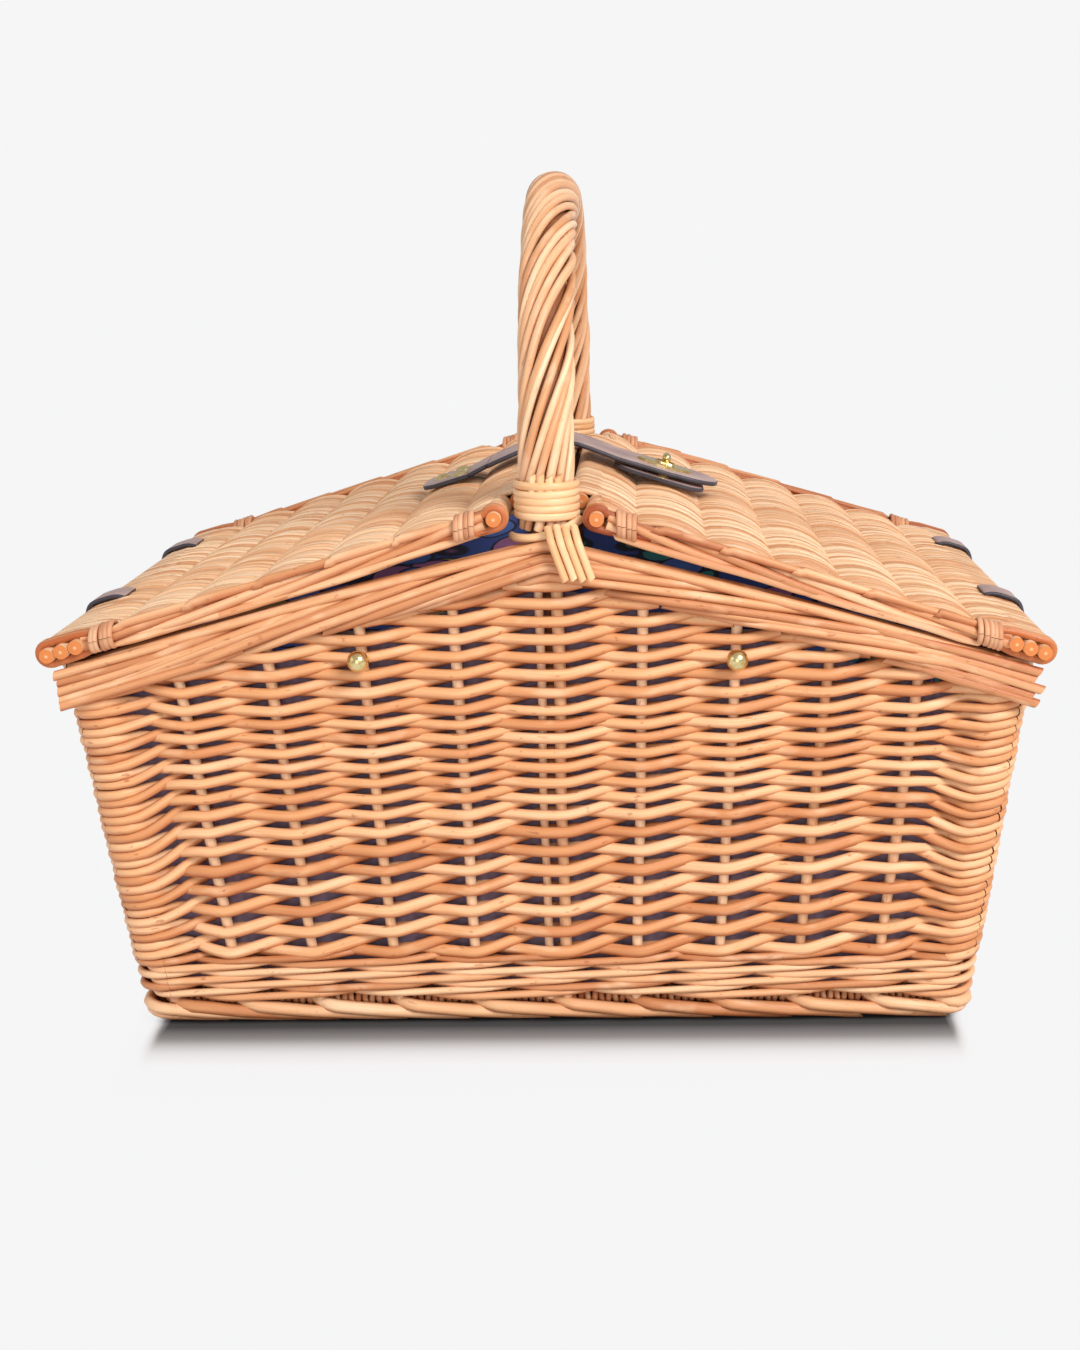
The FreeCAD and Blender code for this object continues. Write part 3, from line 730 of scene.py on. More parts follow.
# ---------------------------------------------------------------- wale above the foot
WALE_LOW_Z, WALE_STEP, WALE_LIFT, WALE_R, WALE_DEPTH = 15.2, 2.28, 4.4, 2.0, 4.35
rods = Rods(8)
n = STAKES * 12 + 1
u = np.linspace(0, STAKES, n)
for j in range(10):
    g = np.random.default_rng(300 + j)
    t = (u + j) % 3
    k, f = np.floor(t), t % 1
    d = np.select([k == 0, k == 1], [-np.cos(PI * f), np.ones(n)], np.cos(PI * f))
    h = np.select(
        [k == 0, k == 1], [np.interp(f, [0, 0.5, 1], [0.5, 0.0, 0.12]), 0.12 + 0.45 * f],
        np.interp(f, [0, 0.6, 1], [0.57, 0.95, 0.5])
    )
    fat = smooth_noise(n, 70, g)
    fat[-1] = fat[0]
    z = WALE_LOW_Z + WALE_STEP * j + WALE_LIFT * smoothed(h, 1)
    r = WALE_R * (1 + 0.1 * fat)
    P, N = around(s_at(u, z), z, smoothed(WALE_DEPTH * d, 1))
    rods.add(P, N, 0.92 * r, r, rnd=g.uniform(), caps=(0, 0))
rods.build("side_wale_rods", m_rim, "side_wale")

# ---------------------------------------------------------------- foot border
FOOT_START_Z, FOOT_FALL, FOOT_R = 12.6, 9.2, 3.2
rods = Rods(12)
for i in range(STAKES):
    g = np.random.default_rng(500 + i)
    n = 26
    q = np.linspace(0, 1, n)
    z = FOOT_START_Z - FOOT_FALL * q**0.75 + 0.3 * smooth_noise(n, 8, g)
    s = stake_s(np.full(n, 7.0))[i] - 4 + q * g.uniform(76, 84)
    off = np.interp(q, [0, 0.06, 0.14, 0.5, 1], [-4.0, 0.0, 3.6, 3.2, -1.0])
    r = FOOT_R * (1 + 0.06 * smooth_noise(n, 8, g)) * np.interp(q, [0, 0.1, 0.9, 1], [0.9, 1.05, 1, 0.9])
    P, N = around(s, z, off)
    rods.add(P, N, r, cut=2.5)
rods.build("foot_border_rods", m_rim, "foot_border")

# ---------------------------------------------------------------- woven base
bw_lo, bw_hi = mm("base_weave")
bs_lo, bs_hi = mm("base_sticks")
BZ = (bw_lo[2] + bw_hi[2]) / 2
BASE_STICK_R, STICK_ROOM = 3.4, 3.6
BASE_LIFT, BASE_PITCH, LOOP_OUT = 4.6, 3.5, 15.5
stick_y = np.linspace(bs_lo[1] + STICK_ROOM, bs_hi[1] - STICK_ROOM, 5)
rods = Rods(12)
for y in stick_y:
    x = np.linspace(bs_lo[0] + 1, bs_hi[0] - 1, 12)
    rods.add(np.stack([x, np.full(12, y), np.full(12, BZ)], 1), (0, 0, 1), BASE_STICK_R)
rods.build("base_stick_rods", m_stake, "base_sticks")
rods = Rods(6)
xs = np.arange(bw_lo[0] + 3, bw_hi[0] - 2, BASE_PITCH)
for k, x in enumerate(xs):
    g = np.random.default_rng(600 + k)
    loop_y = stick_y[-1]
    n = 44
    y = np.linspace(-loop_y, loop_y, n)
    ph = (y - stick_y[0]) / (stick_y[1] - stick_y[0])
    sg = 1 if k % 2 else -1
    z = BZ + sg * BASE_LIFT * np.cos(PI * ph)
    line = np.stack([x + 0.35 * smooth_noise(n, 9, g), y, z], 1)
    ends = []
    for e in (-1, 1):
        zz = z[0] if e < 0 else z[-1]
        a = np.linspace(0, PI, 7)[1:]
        up = 1 if zz > BZ else -1
        arc = np.stack(
            [x + 0.55 * a, e * (loop_y + LOOP_OUT * np.sin(a) ** 0.6), BZ + up * BASE_LIFT * np.cos(a)], 1
        )
        ends.append(arc)
    P = np.vstack([ends[0][::-1], line, ends[1]])
    rods.add(P, np.tile([1.0, 0.0, 0.0], (len(P), 1)), 1.6, 1.3, rnd=g.uniform())
rods.build("base_weave_rods", m_rim, "base_weave")


# ---------------------------------------------------------------- top border of the walls
def swell(x):
    """The border stands a little fuller half way along each slope."""
    return 2.2 * np.sin(PI * np.clip(np.abs(x) / 222, 0, 1)) ** 0.8


# depth under the rim, outward place and radius of the rods inside the border
FILL_RODS = (
    (2.7, 5.6, 2.5),
    (3.0, 0.2, 2.7),
    (3.3, -2.4, 2.7),
    (8.2, -2.6, 2.6),
    (13.0, -2.5, 2.6),
    (17.4, -2.3, 2.4),
    (8.5, 1.6, 2.3),
    (14.0, 1.4, 2.3),
)


def border_rods(wall):
    """Long rods that rise out of the wall, run along the slope and end in cuts at the top."""
    rods = Rods(8)
    a, bnd = WALLS[wall]
    n = 34
    for i in range(math.floor(a) - 5, math.ceil(bnd) + 1):
        for lane in ((0, 1) if i % 3 == 0 else (0,)):
            g = np.random.default_rng(900 + (i % STAKES) * 7 + lane)
            q = np.linspace(0, 1, n)
            start = s_at(np.full(n, float(i)), np.full(n, 180.0))
            s = start + q * 152 - 14 + g.uniform(-6, 6) + lane * 19
            top = rim(around(s, REF_Z, 0)[0][:, 0])
            low = 18.6 - 15.6 * q ** 0.9
            zz = top - low + 0.5 * smooth_noise(n, 10, g)
            P0, _ = around(s, zz, 0)
            zz = rim(P0[:, 0]) - low
            off = np.interp(q, [0, 0.07, 0.2, 0.75, 1], [2.0, 5.5, 8.3, 7.2, 2.5]) - lane * 0.6
            r = 2.3 * (1 + 0.08 * smooth_noise(n, 9, g)) * np.interp(
                q, [0, 0.08, 0.85, 1], [0.8, 1, 0.95, 0.8]
            )
            u_now = np.interp(s, *u_table)
            keep = (u_now >= a) & (u_now <= bnd)
            if keep.sum() < 4:
                continue
            idx = np.where(keep)[0]
            sl = slice(idx[0], idx[-1] + 1)
            P, N = around(s[sl], zz[sl] + swell(P0[sl, 0]), off[sl])
            rods.add(P, N, 0.9 * r[sl], r[sl], rnd=g.uniform(0.3, 1.0), cut=1.6)
    n = int((bnd - a) * 10) + 1
    u = np.linspace(a, bnd, n)
    for row, (low, off, r) in enumerate(FILL_RODS):
        g = np.random.default_rng(1500 + row)
        z = np.full(n, 190.0)
        s = s_at(u, z)
        P0, _ = around(s, z, 0)
        zz = rim(P0[:, 0]) - low + swell(P0[:, 0]) + 0.35 * smooth_noise(n, 12, g)
        P, N = around(s, zz, off + 0.3 * smooth_noise(n, 14, g))
        rods.add(P, N, r, rnd=g.uniform(0.3, 1.0), caps=(0, 0), along0=u[0] * 40)
    if wall in LONG_WALLS:
        face = -1.0 if wall == "front" else 1.0
        for end in (-1, 1):
            for k, low in enumerate((2.6, 6.6, 10.8, 14.8, 18.0)):
                g = np.random.default_rng(1700 + k + 10 * end + 50 * int(face))
                tip = hx(REF_Z) + 2.6 - 2.4 * g.uniform() - (0.7 * k if end < 0 else 3.0 * (k % 2))
                x = end * np.linspace(tip, tip - g.uniform(60, 90), 16)
                q = np.linspace(0, 1, 16)
                z = rim(x) - low + (3.5 if low > 8 else 0.8) * q + 0.4 * smooth_noise(16, 6, g)
                y = face * (
                    hy(REF_Z) - STAKE_D + np.interp(
                        q, [0, 0.3, 0.85, 1], [8.0, 8.8, 8.2, 4.0]
                    ) - 0.5 * (k % 2)
                )
                r = 2.2 * np.interp(q, [0, 0.8, 1], [1.05, 1, 0.7])
                rods.add(
                    np.stack([x, y, z], 1), (0.0, face, 0.0), 0.95 * r, r, rnd=g.uniform(0.3, 1.0), cut=0.8
                )
    rods.build(wall + "_border_rods", m_rim, wall + "_top_border")


uu = np.linspace(-14, STAKES + 8, 1600)
u_table = (s_at(uu, np.full(len(uu), REF_Z)), uu)
for wall in WALLS:
    border_rods(wall)


# ---------------------------------------------------------------- lids
def lid_point(side, u, v, w):
    """A point in the lid's own frame to the basket's frame."""
    u, v, w = np.broadcast_arrays(np.asarray(u, float), np.asarray(v, float), np.asarray(w, float))
    x = -LID_END_X + u * CS - w * SN
    z = LID_Z + u * SN + w * CS
    return np.stack([x if side == "left" else -x, v, z], -1)


def lid_dir(side, du, dv, dw):
    """A direction in the lid's own frame to the basket's frame."""
    x = du * CS - dw * SN
    return np.stack(np.broadcast_arrays(x if side == "left" else -x, dv, du * SN + dw * CS), -1)


RIDGE_U, SHORT_U = 218.0, 226.3
RIB_U = [11.8, 51.0, 84.0, 117.0, 150.0, 183.0, RIDGE_U]
WEAVE_V = mm("left_lid_weave")[1][1]
SHORT_V = 112.0
EDGE_V = 143.4
LID_STICK_R, RIB_R = 3.35, 2.9


def lid_weave(side):
    """Each strand runs over the ribs, round the hinge end, back under them and round the ridge."""
    rods = Rods(6)
    vs = np.arange(-WEAVE_V + 1.6, WEAVE_V - 1.5, 2.8)
    for k, v0 in enumerate(vs):
        g = np.random.default_rng(2000 + k + (500 if side == "left" else 0))
        tone = g.uniform()
        end_u = SHORT_U if abs(v0) < SHORT_V - 3 else RIDGE_U
        out = []
        for strand in (0, 1):
            u = np.linspace(18.8, RIDGE_U, 48)
            ph = np.interp(u, RIB_U[1:], range(1, 7), left=None)
            ph = np.where(u < 51.0, (u - 18.8) / 32.2, ph)
            c = np.cos(PI * ph)
            lift = np.sign(c) * np.abs(c) ** 0.75
            sg = 1 if strand == 0 else -1
            wv = STICK_W + sg * 4.35 * lift
            bb = np.interp(sg * c, [-1, -0.2, 0.15, 0.5, 1], [1.1, 0.7, 0.78, 1.24, 1.3])
            out.append((u, np.full(48, v0 + 1.4 * strand), wv, bb))
        wob = 0.3 * smooth_noise(48, 9, g)
        high = g.uniform(-0.6, 0.3) + 0.3 * smooth_noise(48, 8, g)
        ang = np.linspace(PI / 2, -PI / 2, 9)
        uo, wo = np.array([18.8, 15.0, 11.8, 8.0]), np.full(4, STICK_W + 4.75)
        lead_top = (uo[1:], np.full(3, v0), wo[1:], np.full(3, 1.55))
        loop = (
            4.8 - 4.55 * np.cos(ang), np.linspace(v0, v0 + 1.4, 9), STICK_W + 4.75 * np.sin(ang),
            np.full(9, 1.45)
        )
        lead_low = (uo[1:][::-1], np.full(3, v0 + 1.4), 2 * STICK_W - wo[1:][::-1], np.full(3, 1.4))
        a, b = out
        ridge_ang = np.linspace(PI / 2, -PI / 2, 9)
        ext = np.array([220.5, 223.5]) if end_u > RIDGE_U else np.array([218.5])
        r_top = (ext, np.full(len(ext), v0), np.full(len(ext), STICK_W + 4.6), np.full(len(ext), 1.5))
        r_loop = (
            end_u + 4.5 * np.cos(ridge_ang), np.linspace(v0, v0 - 1.4, 9),
            STICK_W + 4.6 * np.sin(ridge_ang), np.full(9, 1.4)
        )
        r_low = (
            ext[::-1], np.full(len(ext), v0 - 1.4), np.full(len(ext), STICK_W - 4.6), np.full(len(ext), 1.3)
        )
        top = tuple(x[::-1] for x in (a[0], a[1] + wob, a[2] + high, a[3]))
        parts = [
            tuple(x[::-1] for x in r_low), tuple(x[::-1] for x in r_loop), tuple(x[::-1] for x in r_top),
            top, lead_top, loop, lead_low, (b[0], b[1] + wob, b[2] + high, b[3])
        ]
        U, Vv, W, Bb = (np.concatenate([p[i] for p in parts]) for i in range(4))
        P = lid_point(side, U, Vv, W)
        N = np.tile([0.0, 1.0, 0.0], (len(P), 1))
        rods.add(P, N, Bb * (1 + 0.07 * smooth_noise(len(P), 20, g)), 1.3, rnd=tone)
    return rods.build(side + "_lid_strands", m_lid, side + "_lid_weave", side + "_lid")


def lid_sticks(side):
    """The round sticks that the lid is woven on."""
    rods = Rods(16)
    for u in OUTER_U:
        v = np.linspace(-LID_HALF_Y + g0(u), LID_HALF_Y - g0(u + 1), 10)
        rods.add(lid_point(side, u, v, STICK_W), lid_dir(side, 0.0, 0.0, 1.0), LID_STICK_R, dome=0.3)
    rods.build(
        side + "_lid_outer_rods", m_stake, side + "_lid_outer_sticks", side + "_lid",
        end=m_stick_end
    )
    rods = Rods(10)
    for u in RIB_U[1:-1]:
        v = np.linspace(-WEAVE_V + 0.5, WEAVE_V - 0.5, 10)
        rods.add(lid_point(side, u, v, STICK_W), lid_dir(side, 0.0, 0.0, 1.0), RIB_R)
    rods.build(side + "_lid_rib_rods", m_stake, side + "_lid_ribs", side + "_lid")
    rods = Rods(16)
    for u, half in ((RIDGE_U, LID_HALF_Y - 0.5), (SHORT_U, SHORT_V)):
        v = np.linspace(-half, half, 10)
        rods.add(lid_point(side, u, v, STICK_W), lid_dir(side, 0.0, 0.0, 1.0), LID_STICK_R, dome=0.3)
    rods.build(
        side + "_lid_ridge_rods", m_stake, side + "_lid_ridge_sticks", side + "_lid",
        end=m_stick_end
    )


def g0(u):
    """How much shorter than the lid a stick is cut."""
    return 0.3 + 0.5 * (math.sin(u * 7.3) * 0.5 + 0.5)


def lid_edges(side):
    """The rods along the front and back of a lid, the loops round the sticks' ends, and the bindings."""
    for face, s in (("front", -1), ("back", 1)):
        rods = Rods(8)
        flip = (side == "left") == (s < 0)
        for k in range(3):
            g = np.random.default_rng(2600 + k * 3 + (s > 0) + (10 if side == "left" else 0))
            u = np.linspace(21, 213, 70)
            ph = 2 * PI * (u / 150 + k / 3) + 0.6
            v = s * (EDGE_V + 2.3 * np.cos(ph))
            w = 6.3 - 2.0 * np.sin(PI * (u - 21) / 193) + 2.2 * np.sin(ph)
            r = 2.35 * (1 + 0.08 * smooth_noise(70, 14, g))
            rods.add(lid_point(side, u, v, w), lid_dir(side, 0.0, float(s), 0.3), r, rnd=g.uniform())
        for k, (ua, ub) in enumerate(((34, 128), (72, 176), (112, 208))):
            g = np.random.default_rng(2800 + k * 3 + (s > 0) + (10 if side == "left" else 0))
            u = np.linspace(ua, ub, 36)
            v = s * (144.6 + 1.2 * smooth_noise(36, 14, g))
            w = np.linspace(1.6, 0.6, 36) + 0.8 * smooth_noise(36, 14, g)
            rods.add(
                lid_point(side, u, v, w), lid_dir(side, 0.0, float(s), -0.3),
                2.1 * np.interp(np.linspace(0, 1, 36), [0, 0.1, 0.85, 1], [0.6, 1, 1, 0.7]),
                rnd=g.uniform(), cut=1.2
            )
        for k, uk in enumerate((38, 72, 106, 140, 172)):
            g = np.random.default_rng(2700 + k * 3 + (s > 0) + (10 if side == "left" else 0))
            q = np.linspace(0, 1, 30)
            length = g.uniform(64, 80)
            if flip:
                u = uk + q * length * min(1, (206 - uk) / length)
            else:
                u = uk + 20 - q * length * min(1, (uk + 20 - 28) / length)
            v = s * (146.4 - 3.6 * q ** 1.5)
            w = 9.9 - 1.2 * q
            w[0:2] -= 1.0
            r = 2.2 * (1 + 0.06 * smooth_noise(30, 9, g)) * np.interp(
                q, [0, 0.06, 0.7, 1], [0.85, 1, 0.9, 0.5]
            )
            rods.add(lid_point(side, u, v, w), lid_dir(side, 0.0, float(s), 0.6), r, rnd=g.uniform(), cut=1.5)
        for v_at, r in ((144.4, 1.75), (140.6, 1.7)):
            ang = np.linspace(PI / 2, -PI / 2, 12)
            u = np.concatenate([[30, 24, 18.8, 11.8, 7], 4.8 - 4.9 * np.cos(ang), [7, 11.8, 18.8, 24, 30]])
            w = np.concatenate(
                [[9.0, 10.4, 11.0, 11.1, 11.1], STICK_W + 4.9 * np.sin(ang), [1.5, 1.5, 1.6, 2.6, 4.0]]
            )
            rods.add(lid_point(side, u, s * v_at, w), (0.0, 1.0, 0.0), r)
            ang = np.linspace(-PI / 2, PI / 2 + 0.9, 14)
            u = np.concatenate([[192, 199, 206, 212], RIDGE_U + 4.7 * np.cos(ang), [207, 200]])
            w = np.concatenate([[4.4, 3.6, 2.4, 1.8], STICK_W + 4.7 * np.sin(ang), [9.0, 7.8]])
            rods.add(lid_point(side, u, s * v_at, w), (0.0, 1.0, 0.0), r)
        rods.build(f"{side}_lid_{face}_edge_rods", m_rim, f"{side}_lid_{face}_edge", side + "_lid")
    rods = Rods(8)
    for s in (-1, 1):
        for u0, count in ((26.6, 5), (200.6, 4)):
            for k in range(count):
                g = np.random.default_rng(2900 + k + int(u0) + (s > 0) * 31 + (5 if side == "left" else 0))
                ang = np.linspace(0, 2 * PI, 25)
                u = u0 + 2.35 * k + 1.6 * np.sin(ang + g.uniform(-0.3, 0.3)) + g.uniform(-0.3, 0.3)
                v = s * (143.6 + (6.0 + g.uniform(-0.2, 0.2)) * np.cos(ang))
                w = 6.6 + (5.3 + g.uniform(-0.2, 0.2)) * np.sin(ang)
                out = lid_dir(side, 0.0, s * np.cos(ang), np.sin(ang))
                rods.add(lid_point(side, u, v, w), out, 1.1, 1.35, rnd=g.uniform(), caps=(0, 0))
    rods.build(side + "_lid_binding_wraps", m_bind, side + "_lid_bindings", side + "_lid")


for side in ("left", "right"):
    lid_weave(side)
    lid_sticks(side)
    lid_edges(side)

# ---------------------------------------------------------------- handle
bow_lo = mm("handle_bow")[0]
rope_lo, rope_hi = mm("handle_roping")
ROPE_OUT, ROPE_LINE, STRAND_R, CORE_R, COLLAR_R = 13.2, 11.0, 2.02, 8.9, 14.0
HOOP_R = (rope_hi[1] - rope_lo[1]) / 2 - ROPE_OUT
HOOP_Z = rope_hi[2] - HOOP_R - ROPE_OUT
ROPE_Z0 = rope_lo[2]
LEG = HOOP_Z - ROPE_Z0
HALF = PI * HOOP_R
TOTAL = HALF + 2 * LEG


def hoop(t):
    """A point on the bow's line at distance t from the front leg's foot, and its outward direction."""
    t = np.asarray(t, float)
    ang = np.clip((t - LEG) / HOOP_R, 0, PI)
    below = np.where(t < LEG, LEG - t, np.where(t > LEG + HALF, t - LEG - HALF, 0))
    y = -HOOP_R * np.cos(ang)
    z = HOOP_Z + HOOP_R * np.sin(ang) - below
    out = np.stack([np.zeros_like(y), -np.cos(ang), np.sin(ang)], -1)
    return np.stack([np.zeros_like(y), y, z], -1), out


rods = Rods(8)
N_ROPE = 15
for k in range(N_ROPE):
    g = np.random.default_rng(3300 + k)
    n = 230
    g.uniform()  # one draw is passed over before the strands' own draws
    t = np.linspace(0, TOTAL, n)
    rate = np.interp(
        t, [0, TOTAL * 0.25, TOTAL * 0.5, TOTAL * 0.75, TOTAL],
        [1 / 215, 1 / 165, 1 / 128, 1 / 165, 1 / 215]
    )
    turn = np.concatenate([[0], np.cumsum(rate[1:] * np.diff(t))])
    turn -= np.interp(TOTAL / 2, t, turn)
    ph = 2 * PI * (k / N_ROPE + turn) + 0.2 * smooth_noise(n, 26, g)
    C, out = hoop(t)
    rad = ROPE_LINE + g.uniform(-0.35, 0.35) + 0.45 * smooth_noise(n, 22, g)
    direction = np.cos(ph)[:, None] * out + np.sin(ph)[:, None] * np.array([1.0, 0, 0])
    P = C + rad[:, None] * direction
    r = STRAND_R * (1 + 0.12 * smooth_noise(n, 45, g)) * g.uniform(0.9, 1.08)
    rods.add(P, direction, 0.95 * r, r, rnd=g.uniform())
rods.build("handle_rope_strands", m_handle, "handle_roping")

rods = Rods(14)
C, out = hoop(np.linspace(0, TOTAL, 90))
rods.add(C, out, CORE_R, caps=(0, 0), rnd=0.9)
low_z = bow_lo[2]
for s in (-1, 1):
    y_low = s * (hy(low_z) - 17.7)
    for k, (dx, dy) in enumerate(((-4.4, 0.6), (0.3, -1.4), (4.7, 0.5), (-2.2, 4.2), (2.6, 4.0))):
        z = np.linspace(low_z + 3 + 3 * (k % 3), ROPE_Z0 + 6, 12)
        y = np.interp(z, [low_z, 240.0], [y_low, s * HOOP_R]) - s * dy
        rods.add(np.stack([np.full(12, dx), y, z], 1), (0.0, float(s), 0.0), 2.9, rnd=0.1 + 0.2 * k)
rods.build("handle_bow_rods", m_dark, "handle_bow")

for name, s in (("front", -1), ("back", 1)):
    col_lo, col_hi = mm(name + "_collar")
    rods = Rods(8)
    zs = np.linspace(col_hi[2] - 2.0, col_lo[2] + 2.0, 5)
    for k, z0 in enumerate(zs):
        g = np.random.default_rng(3600 + k + (s > 0) * 9)
        ang = np.linspace(0, 2 * PI, 49)
        tilt = g.uniform(-0.5, 0.5)
        P = np.stack(
            [COLLAR_R * np.cos(ang), s * HOOP_R + COLLAR_R * np.sin(ang), z0 + tilt * np.sin(ang + k)], 1
        )
        N = np.stack([np.cos(ang), np.sin(ang), 0 * ang], 1)
        rods.add(P, N, 1.15, 1.95, rnd=g.uniform(), caps=(0, 0))
    for k in range(4):
        g = np.random.default_rng(3650 + k + (s > 0) * 9)
        a = -PI / 2 * -s + (k - 1.5) * 0.3
        z = np.linspace(col_hi[2] - 8, col_hi[2] + g.uniform(2, 4.5), 6)
        c, sn = math.cos(a), math.sin(a)
        P = np.stack([ROPE_OUT * c + 0 * z, s * HOOP_R + ROPE_OUT * sn + 0 * z, z], 1)
        rods.add(P, (c, sn, 0.0), 1.5, 1.9, cut=1.2)
    rods.build(name + "_collar_wraps", m_wrap, name + "_collar")
    lash_lo, lash_hi = mm(name + "_lashing")
    rods = Rods(8)
    y_out = (lash_hi[1] - 1.9) if s > 0 else -(lash_lo[1] + 1.9)
    for k in range(4):
        g = np.random.default_rng(3700 + k)
        x_top, x_low = 1.0 + 3.9 * k, 9.0 + 3.9 * k
        q = np.linspace(0, 1, 14)
        z = 254.6 - 22.6 * q + 0.6 * (k % 2)
        x = x_top + (x_low - x_top) * q
        y = s * np.interp(z, [231.4, 250.5, 255.2], [y_out - 0.2, y_out - 0.3, y_out - 9.0])
        y = smoothed(y, 1)
        rods.add(np.stack([x, y, z], 1), (0.0, float(s), 0.2), 1.75, 1.8, rnd=g.uniform(), cut=0.5)
    q = np.linspace(0, 1, 20)
    x = 15.5 - 32 * q
    z = 256.6 - 8.0 * q - 2.0 * np.sin(PI * q)
    y = s * (HOOP_R + np.sqrt(np.clip(15.2**2 - (x * 0.92) ** 2, 4, None)))
    rods.add(np.stack([x, y, z], 1), np.stack([x / 16, s * 0.9 + 0 * x, 0.2 + 0 * x], 1), 1.2, 2.0)
    rods.build(name + "_lashing_rods", m_wrap, name + "_lashing")


# ---------------------------------------------------------------- plain solids: strips, rivets, plates
def band(a, b, n):
    """The faces between two rings of n points, which start at a and at b."""
    return [(a + j, a + (j + 1) % n, b + (j + 1) % n, b + j) for j in range(n)]


def skin(name, V, F, materials, index=None, smooth=None):
    """A mesh from points in mm, with its faces turned outward."""
    mesh = bpy.data.meshes.new(name)
    mesh.from_pydata((np.asarray(V, float) * 0.001).tolist(), [], F)
    for m in materials:
        mesh.materials.append(m)
    if index is not None:
        mesh.polygons.foreach_set("material_index", index)
    if smooth is not None:
        mesh.polygons.foreach_set("use_smooth", smooth)
    mesh.update()
    mesh.validate()
    bm = bmesh.new()
    bm.from_mesh(mesh)
    bmesh.ops.recalc_face_normals(bm, faces=bm.faces)
    bm.to_mesh(mesh)
    bm.free()
    return mesh


def grid_strip(
    name, line, half_w, thick, node, blend=None, tip=None, wave=0.0, y0=0.0, segs=10, upright=False
):
    """A leather strip that follows a line of (x, z) points in mm, with rounded long edges."""
    line = np.asarray(line, float)
    d = np.concatenate([[0], np.cumsum(np.linalg.norm(np.diff(line, axis=0), axis=1))])
    n = max(8, int(d[-1] / 1.6))
    t = np.linspace(0, d[-1], n)
    x, z = np.interp(t, d, line[:, 0]), np.interp(t, d, line[:, 1])
    for _ in range(3):
        x[1:-1] = (x[:-2] + 2 * x[1:-1] + x[2:]) / 4
        z[1:-1] = (z[:-2] + 2 * z[1:-1] + z[2:]) / 4
    T = np.stack([np.gradient(x), np.gradient(z)], 1)
    T /= np.linalg.norm(T, axis=1, keepdims=True)
    Nn = np.stack([-T[:, 1], T[:, 0]], 1)
    bow = wave * smooth_noise(n, 14, np.random.default_rng(len(name)))
    h = thick / 2
    e = min(0.6, h * 0.7)
    width = np.full(n, half_w) if tip is None else np.minimum(half_w, tip(t, d[-1]))
    rows = []
    for i in range(n):
        w = max(width[i], 0.6)
        top = [(-w + e + (2 * w - 2 * e) * j / segs, h) for j in range(segs + 1)]
        pts = top + [(w, h - e), (w, -h + e)] + [(-q[0], -h) for q in top] + [(-w, -h + e), (-w, h - e)]
        pts = np.array(pts)
        off = pts[:, 1] + bow[i] * (1 - (pts[:, 0] / half_w) ** 2)
        a, b, c = x[i] + Nn[i, 0] * off, z[i] + Nn[i, 1] * off, y0 + pts[:, 0]
        rows.append(np.stack([a, b, c] if upright else [a, c, b], 1))
    k = len(rows[0])
    cut_sides = {segs, segs + 1, segs + 2, 2 * segs + 3, 2 * segs + 4, k - 1}
    F, M = [], []
    for i in range(n - 1):
        F += band(i * k, (i + 1) * k, k)
        M += [int(j in cut_sides) for j in range(k)]
    F += [tuple(range(k))[::-1], tuple((n - 1) * k + j for j in range(k))]
    smooth = [True] * (len(F) - 2) + [False, False]
    mesh = skin(name, np.vstack(rows), F, (m_leather, m_leather_edge), M + [1, 1], smooth)
    return place(mesh, name, "basket", [node], blend)


def lathe(profile, n=24):
    """Verts and faces of a turned shape from (radius, height) points, about Z."""
    V, F = [], []
    for r, h in profile:
        for k in range(n):
            a = 2 * PI * k / n
            V.append((r * math.cos(a), r * math.sin(a), h))
    for i in range(len(profile) - 1):
        F += band(i * n, (i + 1) * n, n)
    F.append(tuple(range(n))[::-1])
    F.append(tuple((len(profile) - 1) * n + k for k in range(n)))
    return V, F


def gather(name, shapes, body, node, smooth_angle=40):
    """Joins brass (verts, faces) shapes in mm into one piece."""
    V, F = [], []
    for v, f in shapes:
        b = len(V)
        V += [tuple(p) for p in v]
        F += [tuple(i + b for i in face) for face in f]
    mesh = skin(name, V, F, [m_brass], smooth=[True] * len(F))
    mesh.set_sharp_from_angle(angle=math.radians(smooth_angle))
    return place(mesh, name, body, [node])


def onto(shape, origin, zaxis, xaxis=(0, 1, 0)):
    """Moves a (verts, faces) shape so that its Z follows zaxis and its X follows xaxis."""
    z = Vector(zaxis).normalized()
    x = Vector(xaxis)
    x = (x - x.dot(z) * z).normalized()
    y = z.cross(x)
    V, F = shape
    return [tuple(Vector(origin) + x * a + y * b + z * c) for a, b, c in V], F


def dome_profile(r, h, steps=7, brim=0.25):
    """The (radius, height) points of a low dome on a short brim."""
    R = (r * r + h * h) / (2 * h)
    pts = [(r, 0.0), (r, brim)]
    for k in range(1, steps):
        a = math.asin(r / R) * (1 - k / steps)
        pts.append((R * math.sin(a), h + brim - R + R * math.cos(a)))
    pts.append((0.05, h + brim))
    return pts


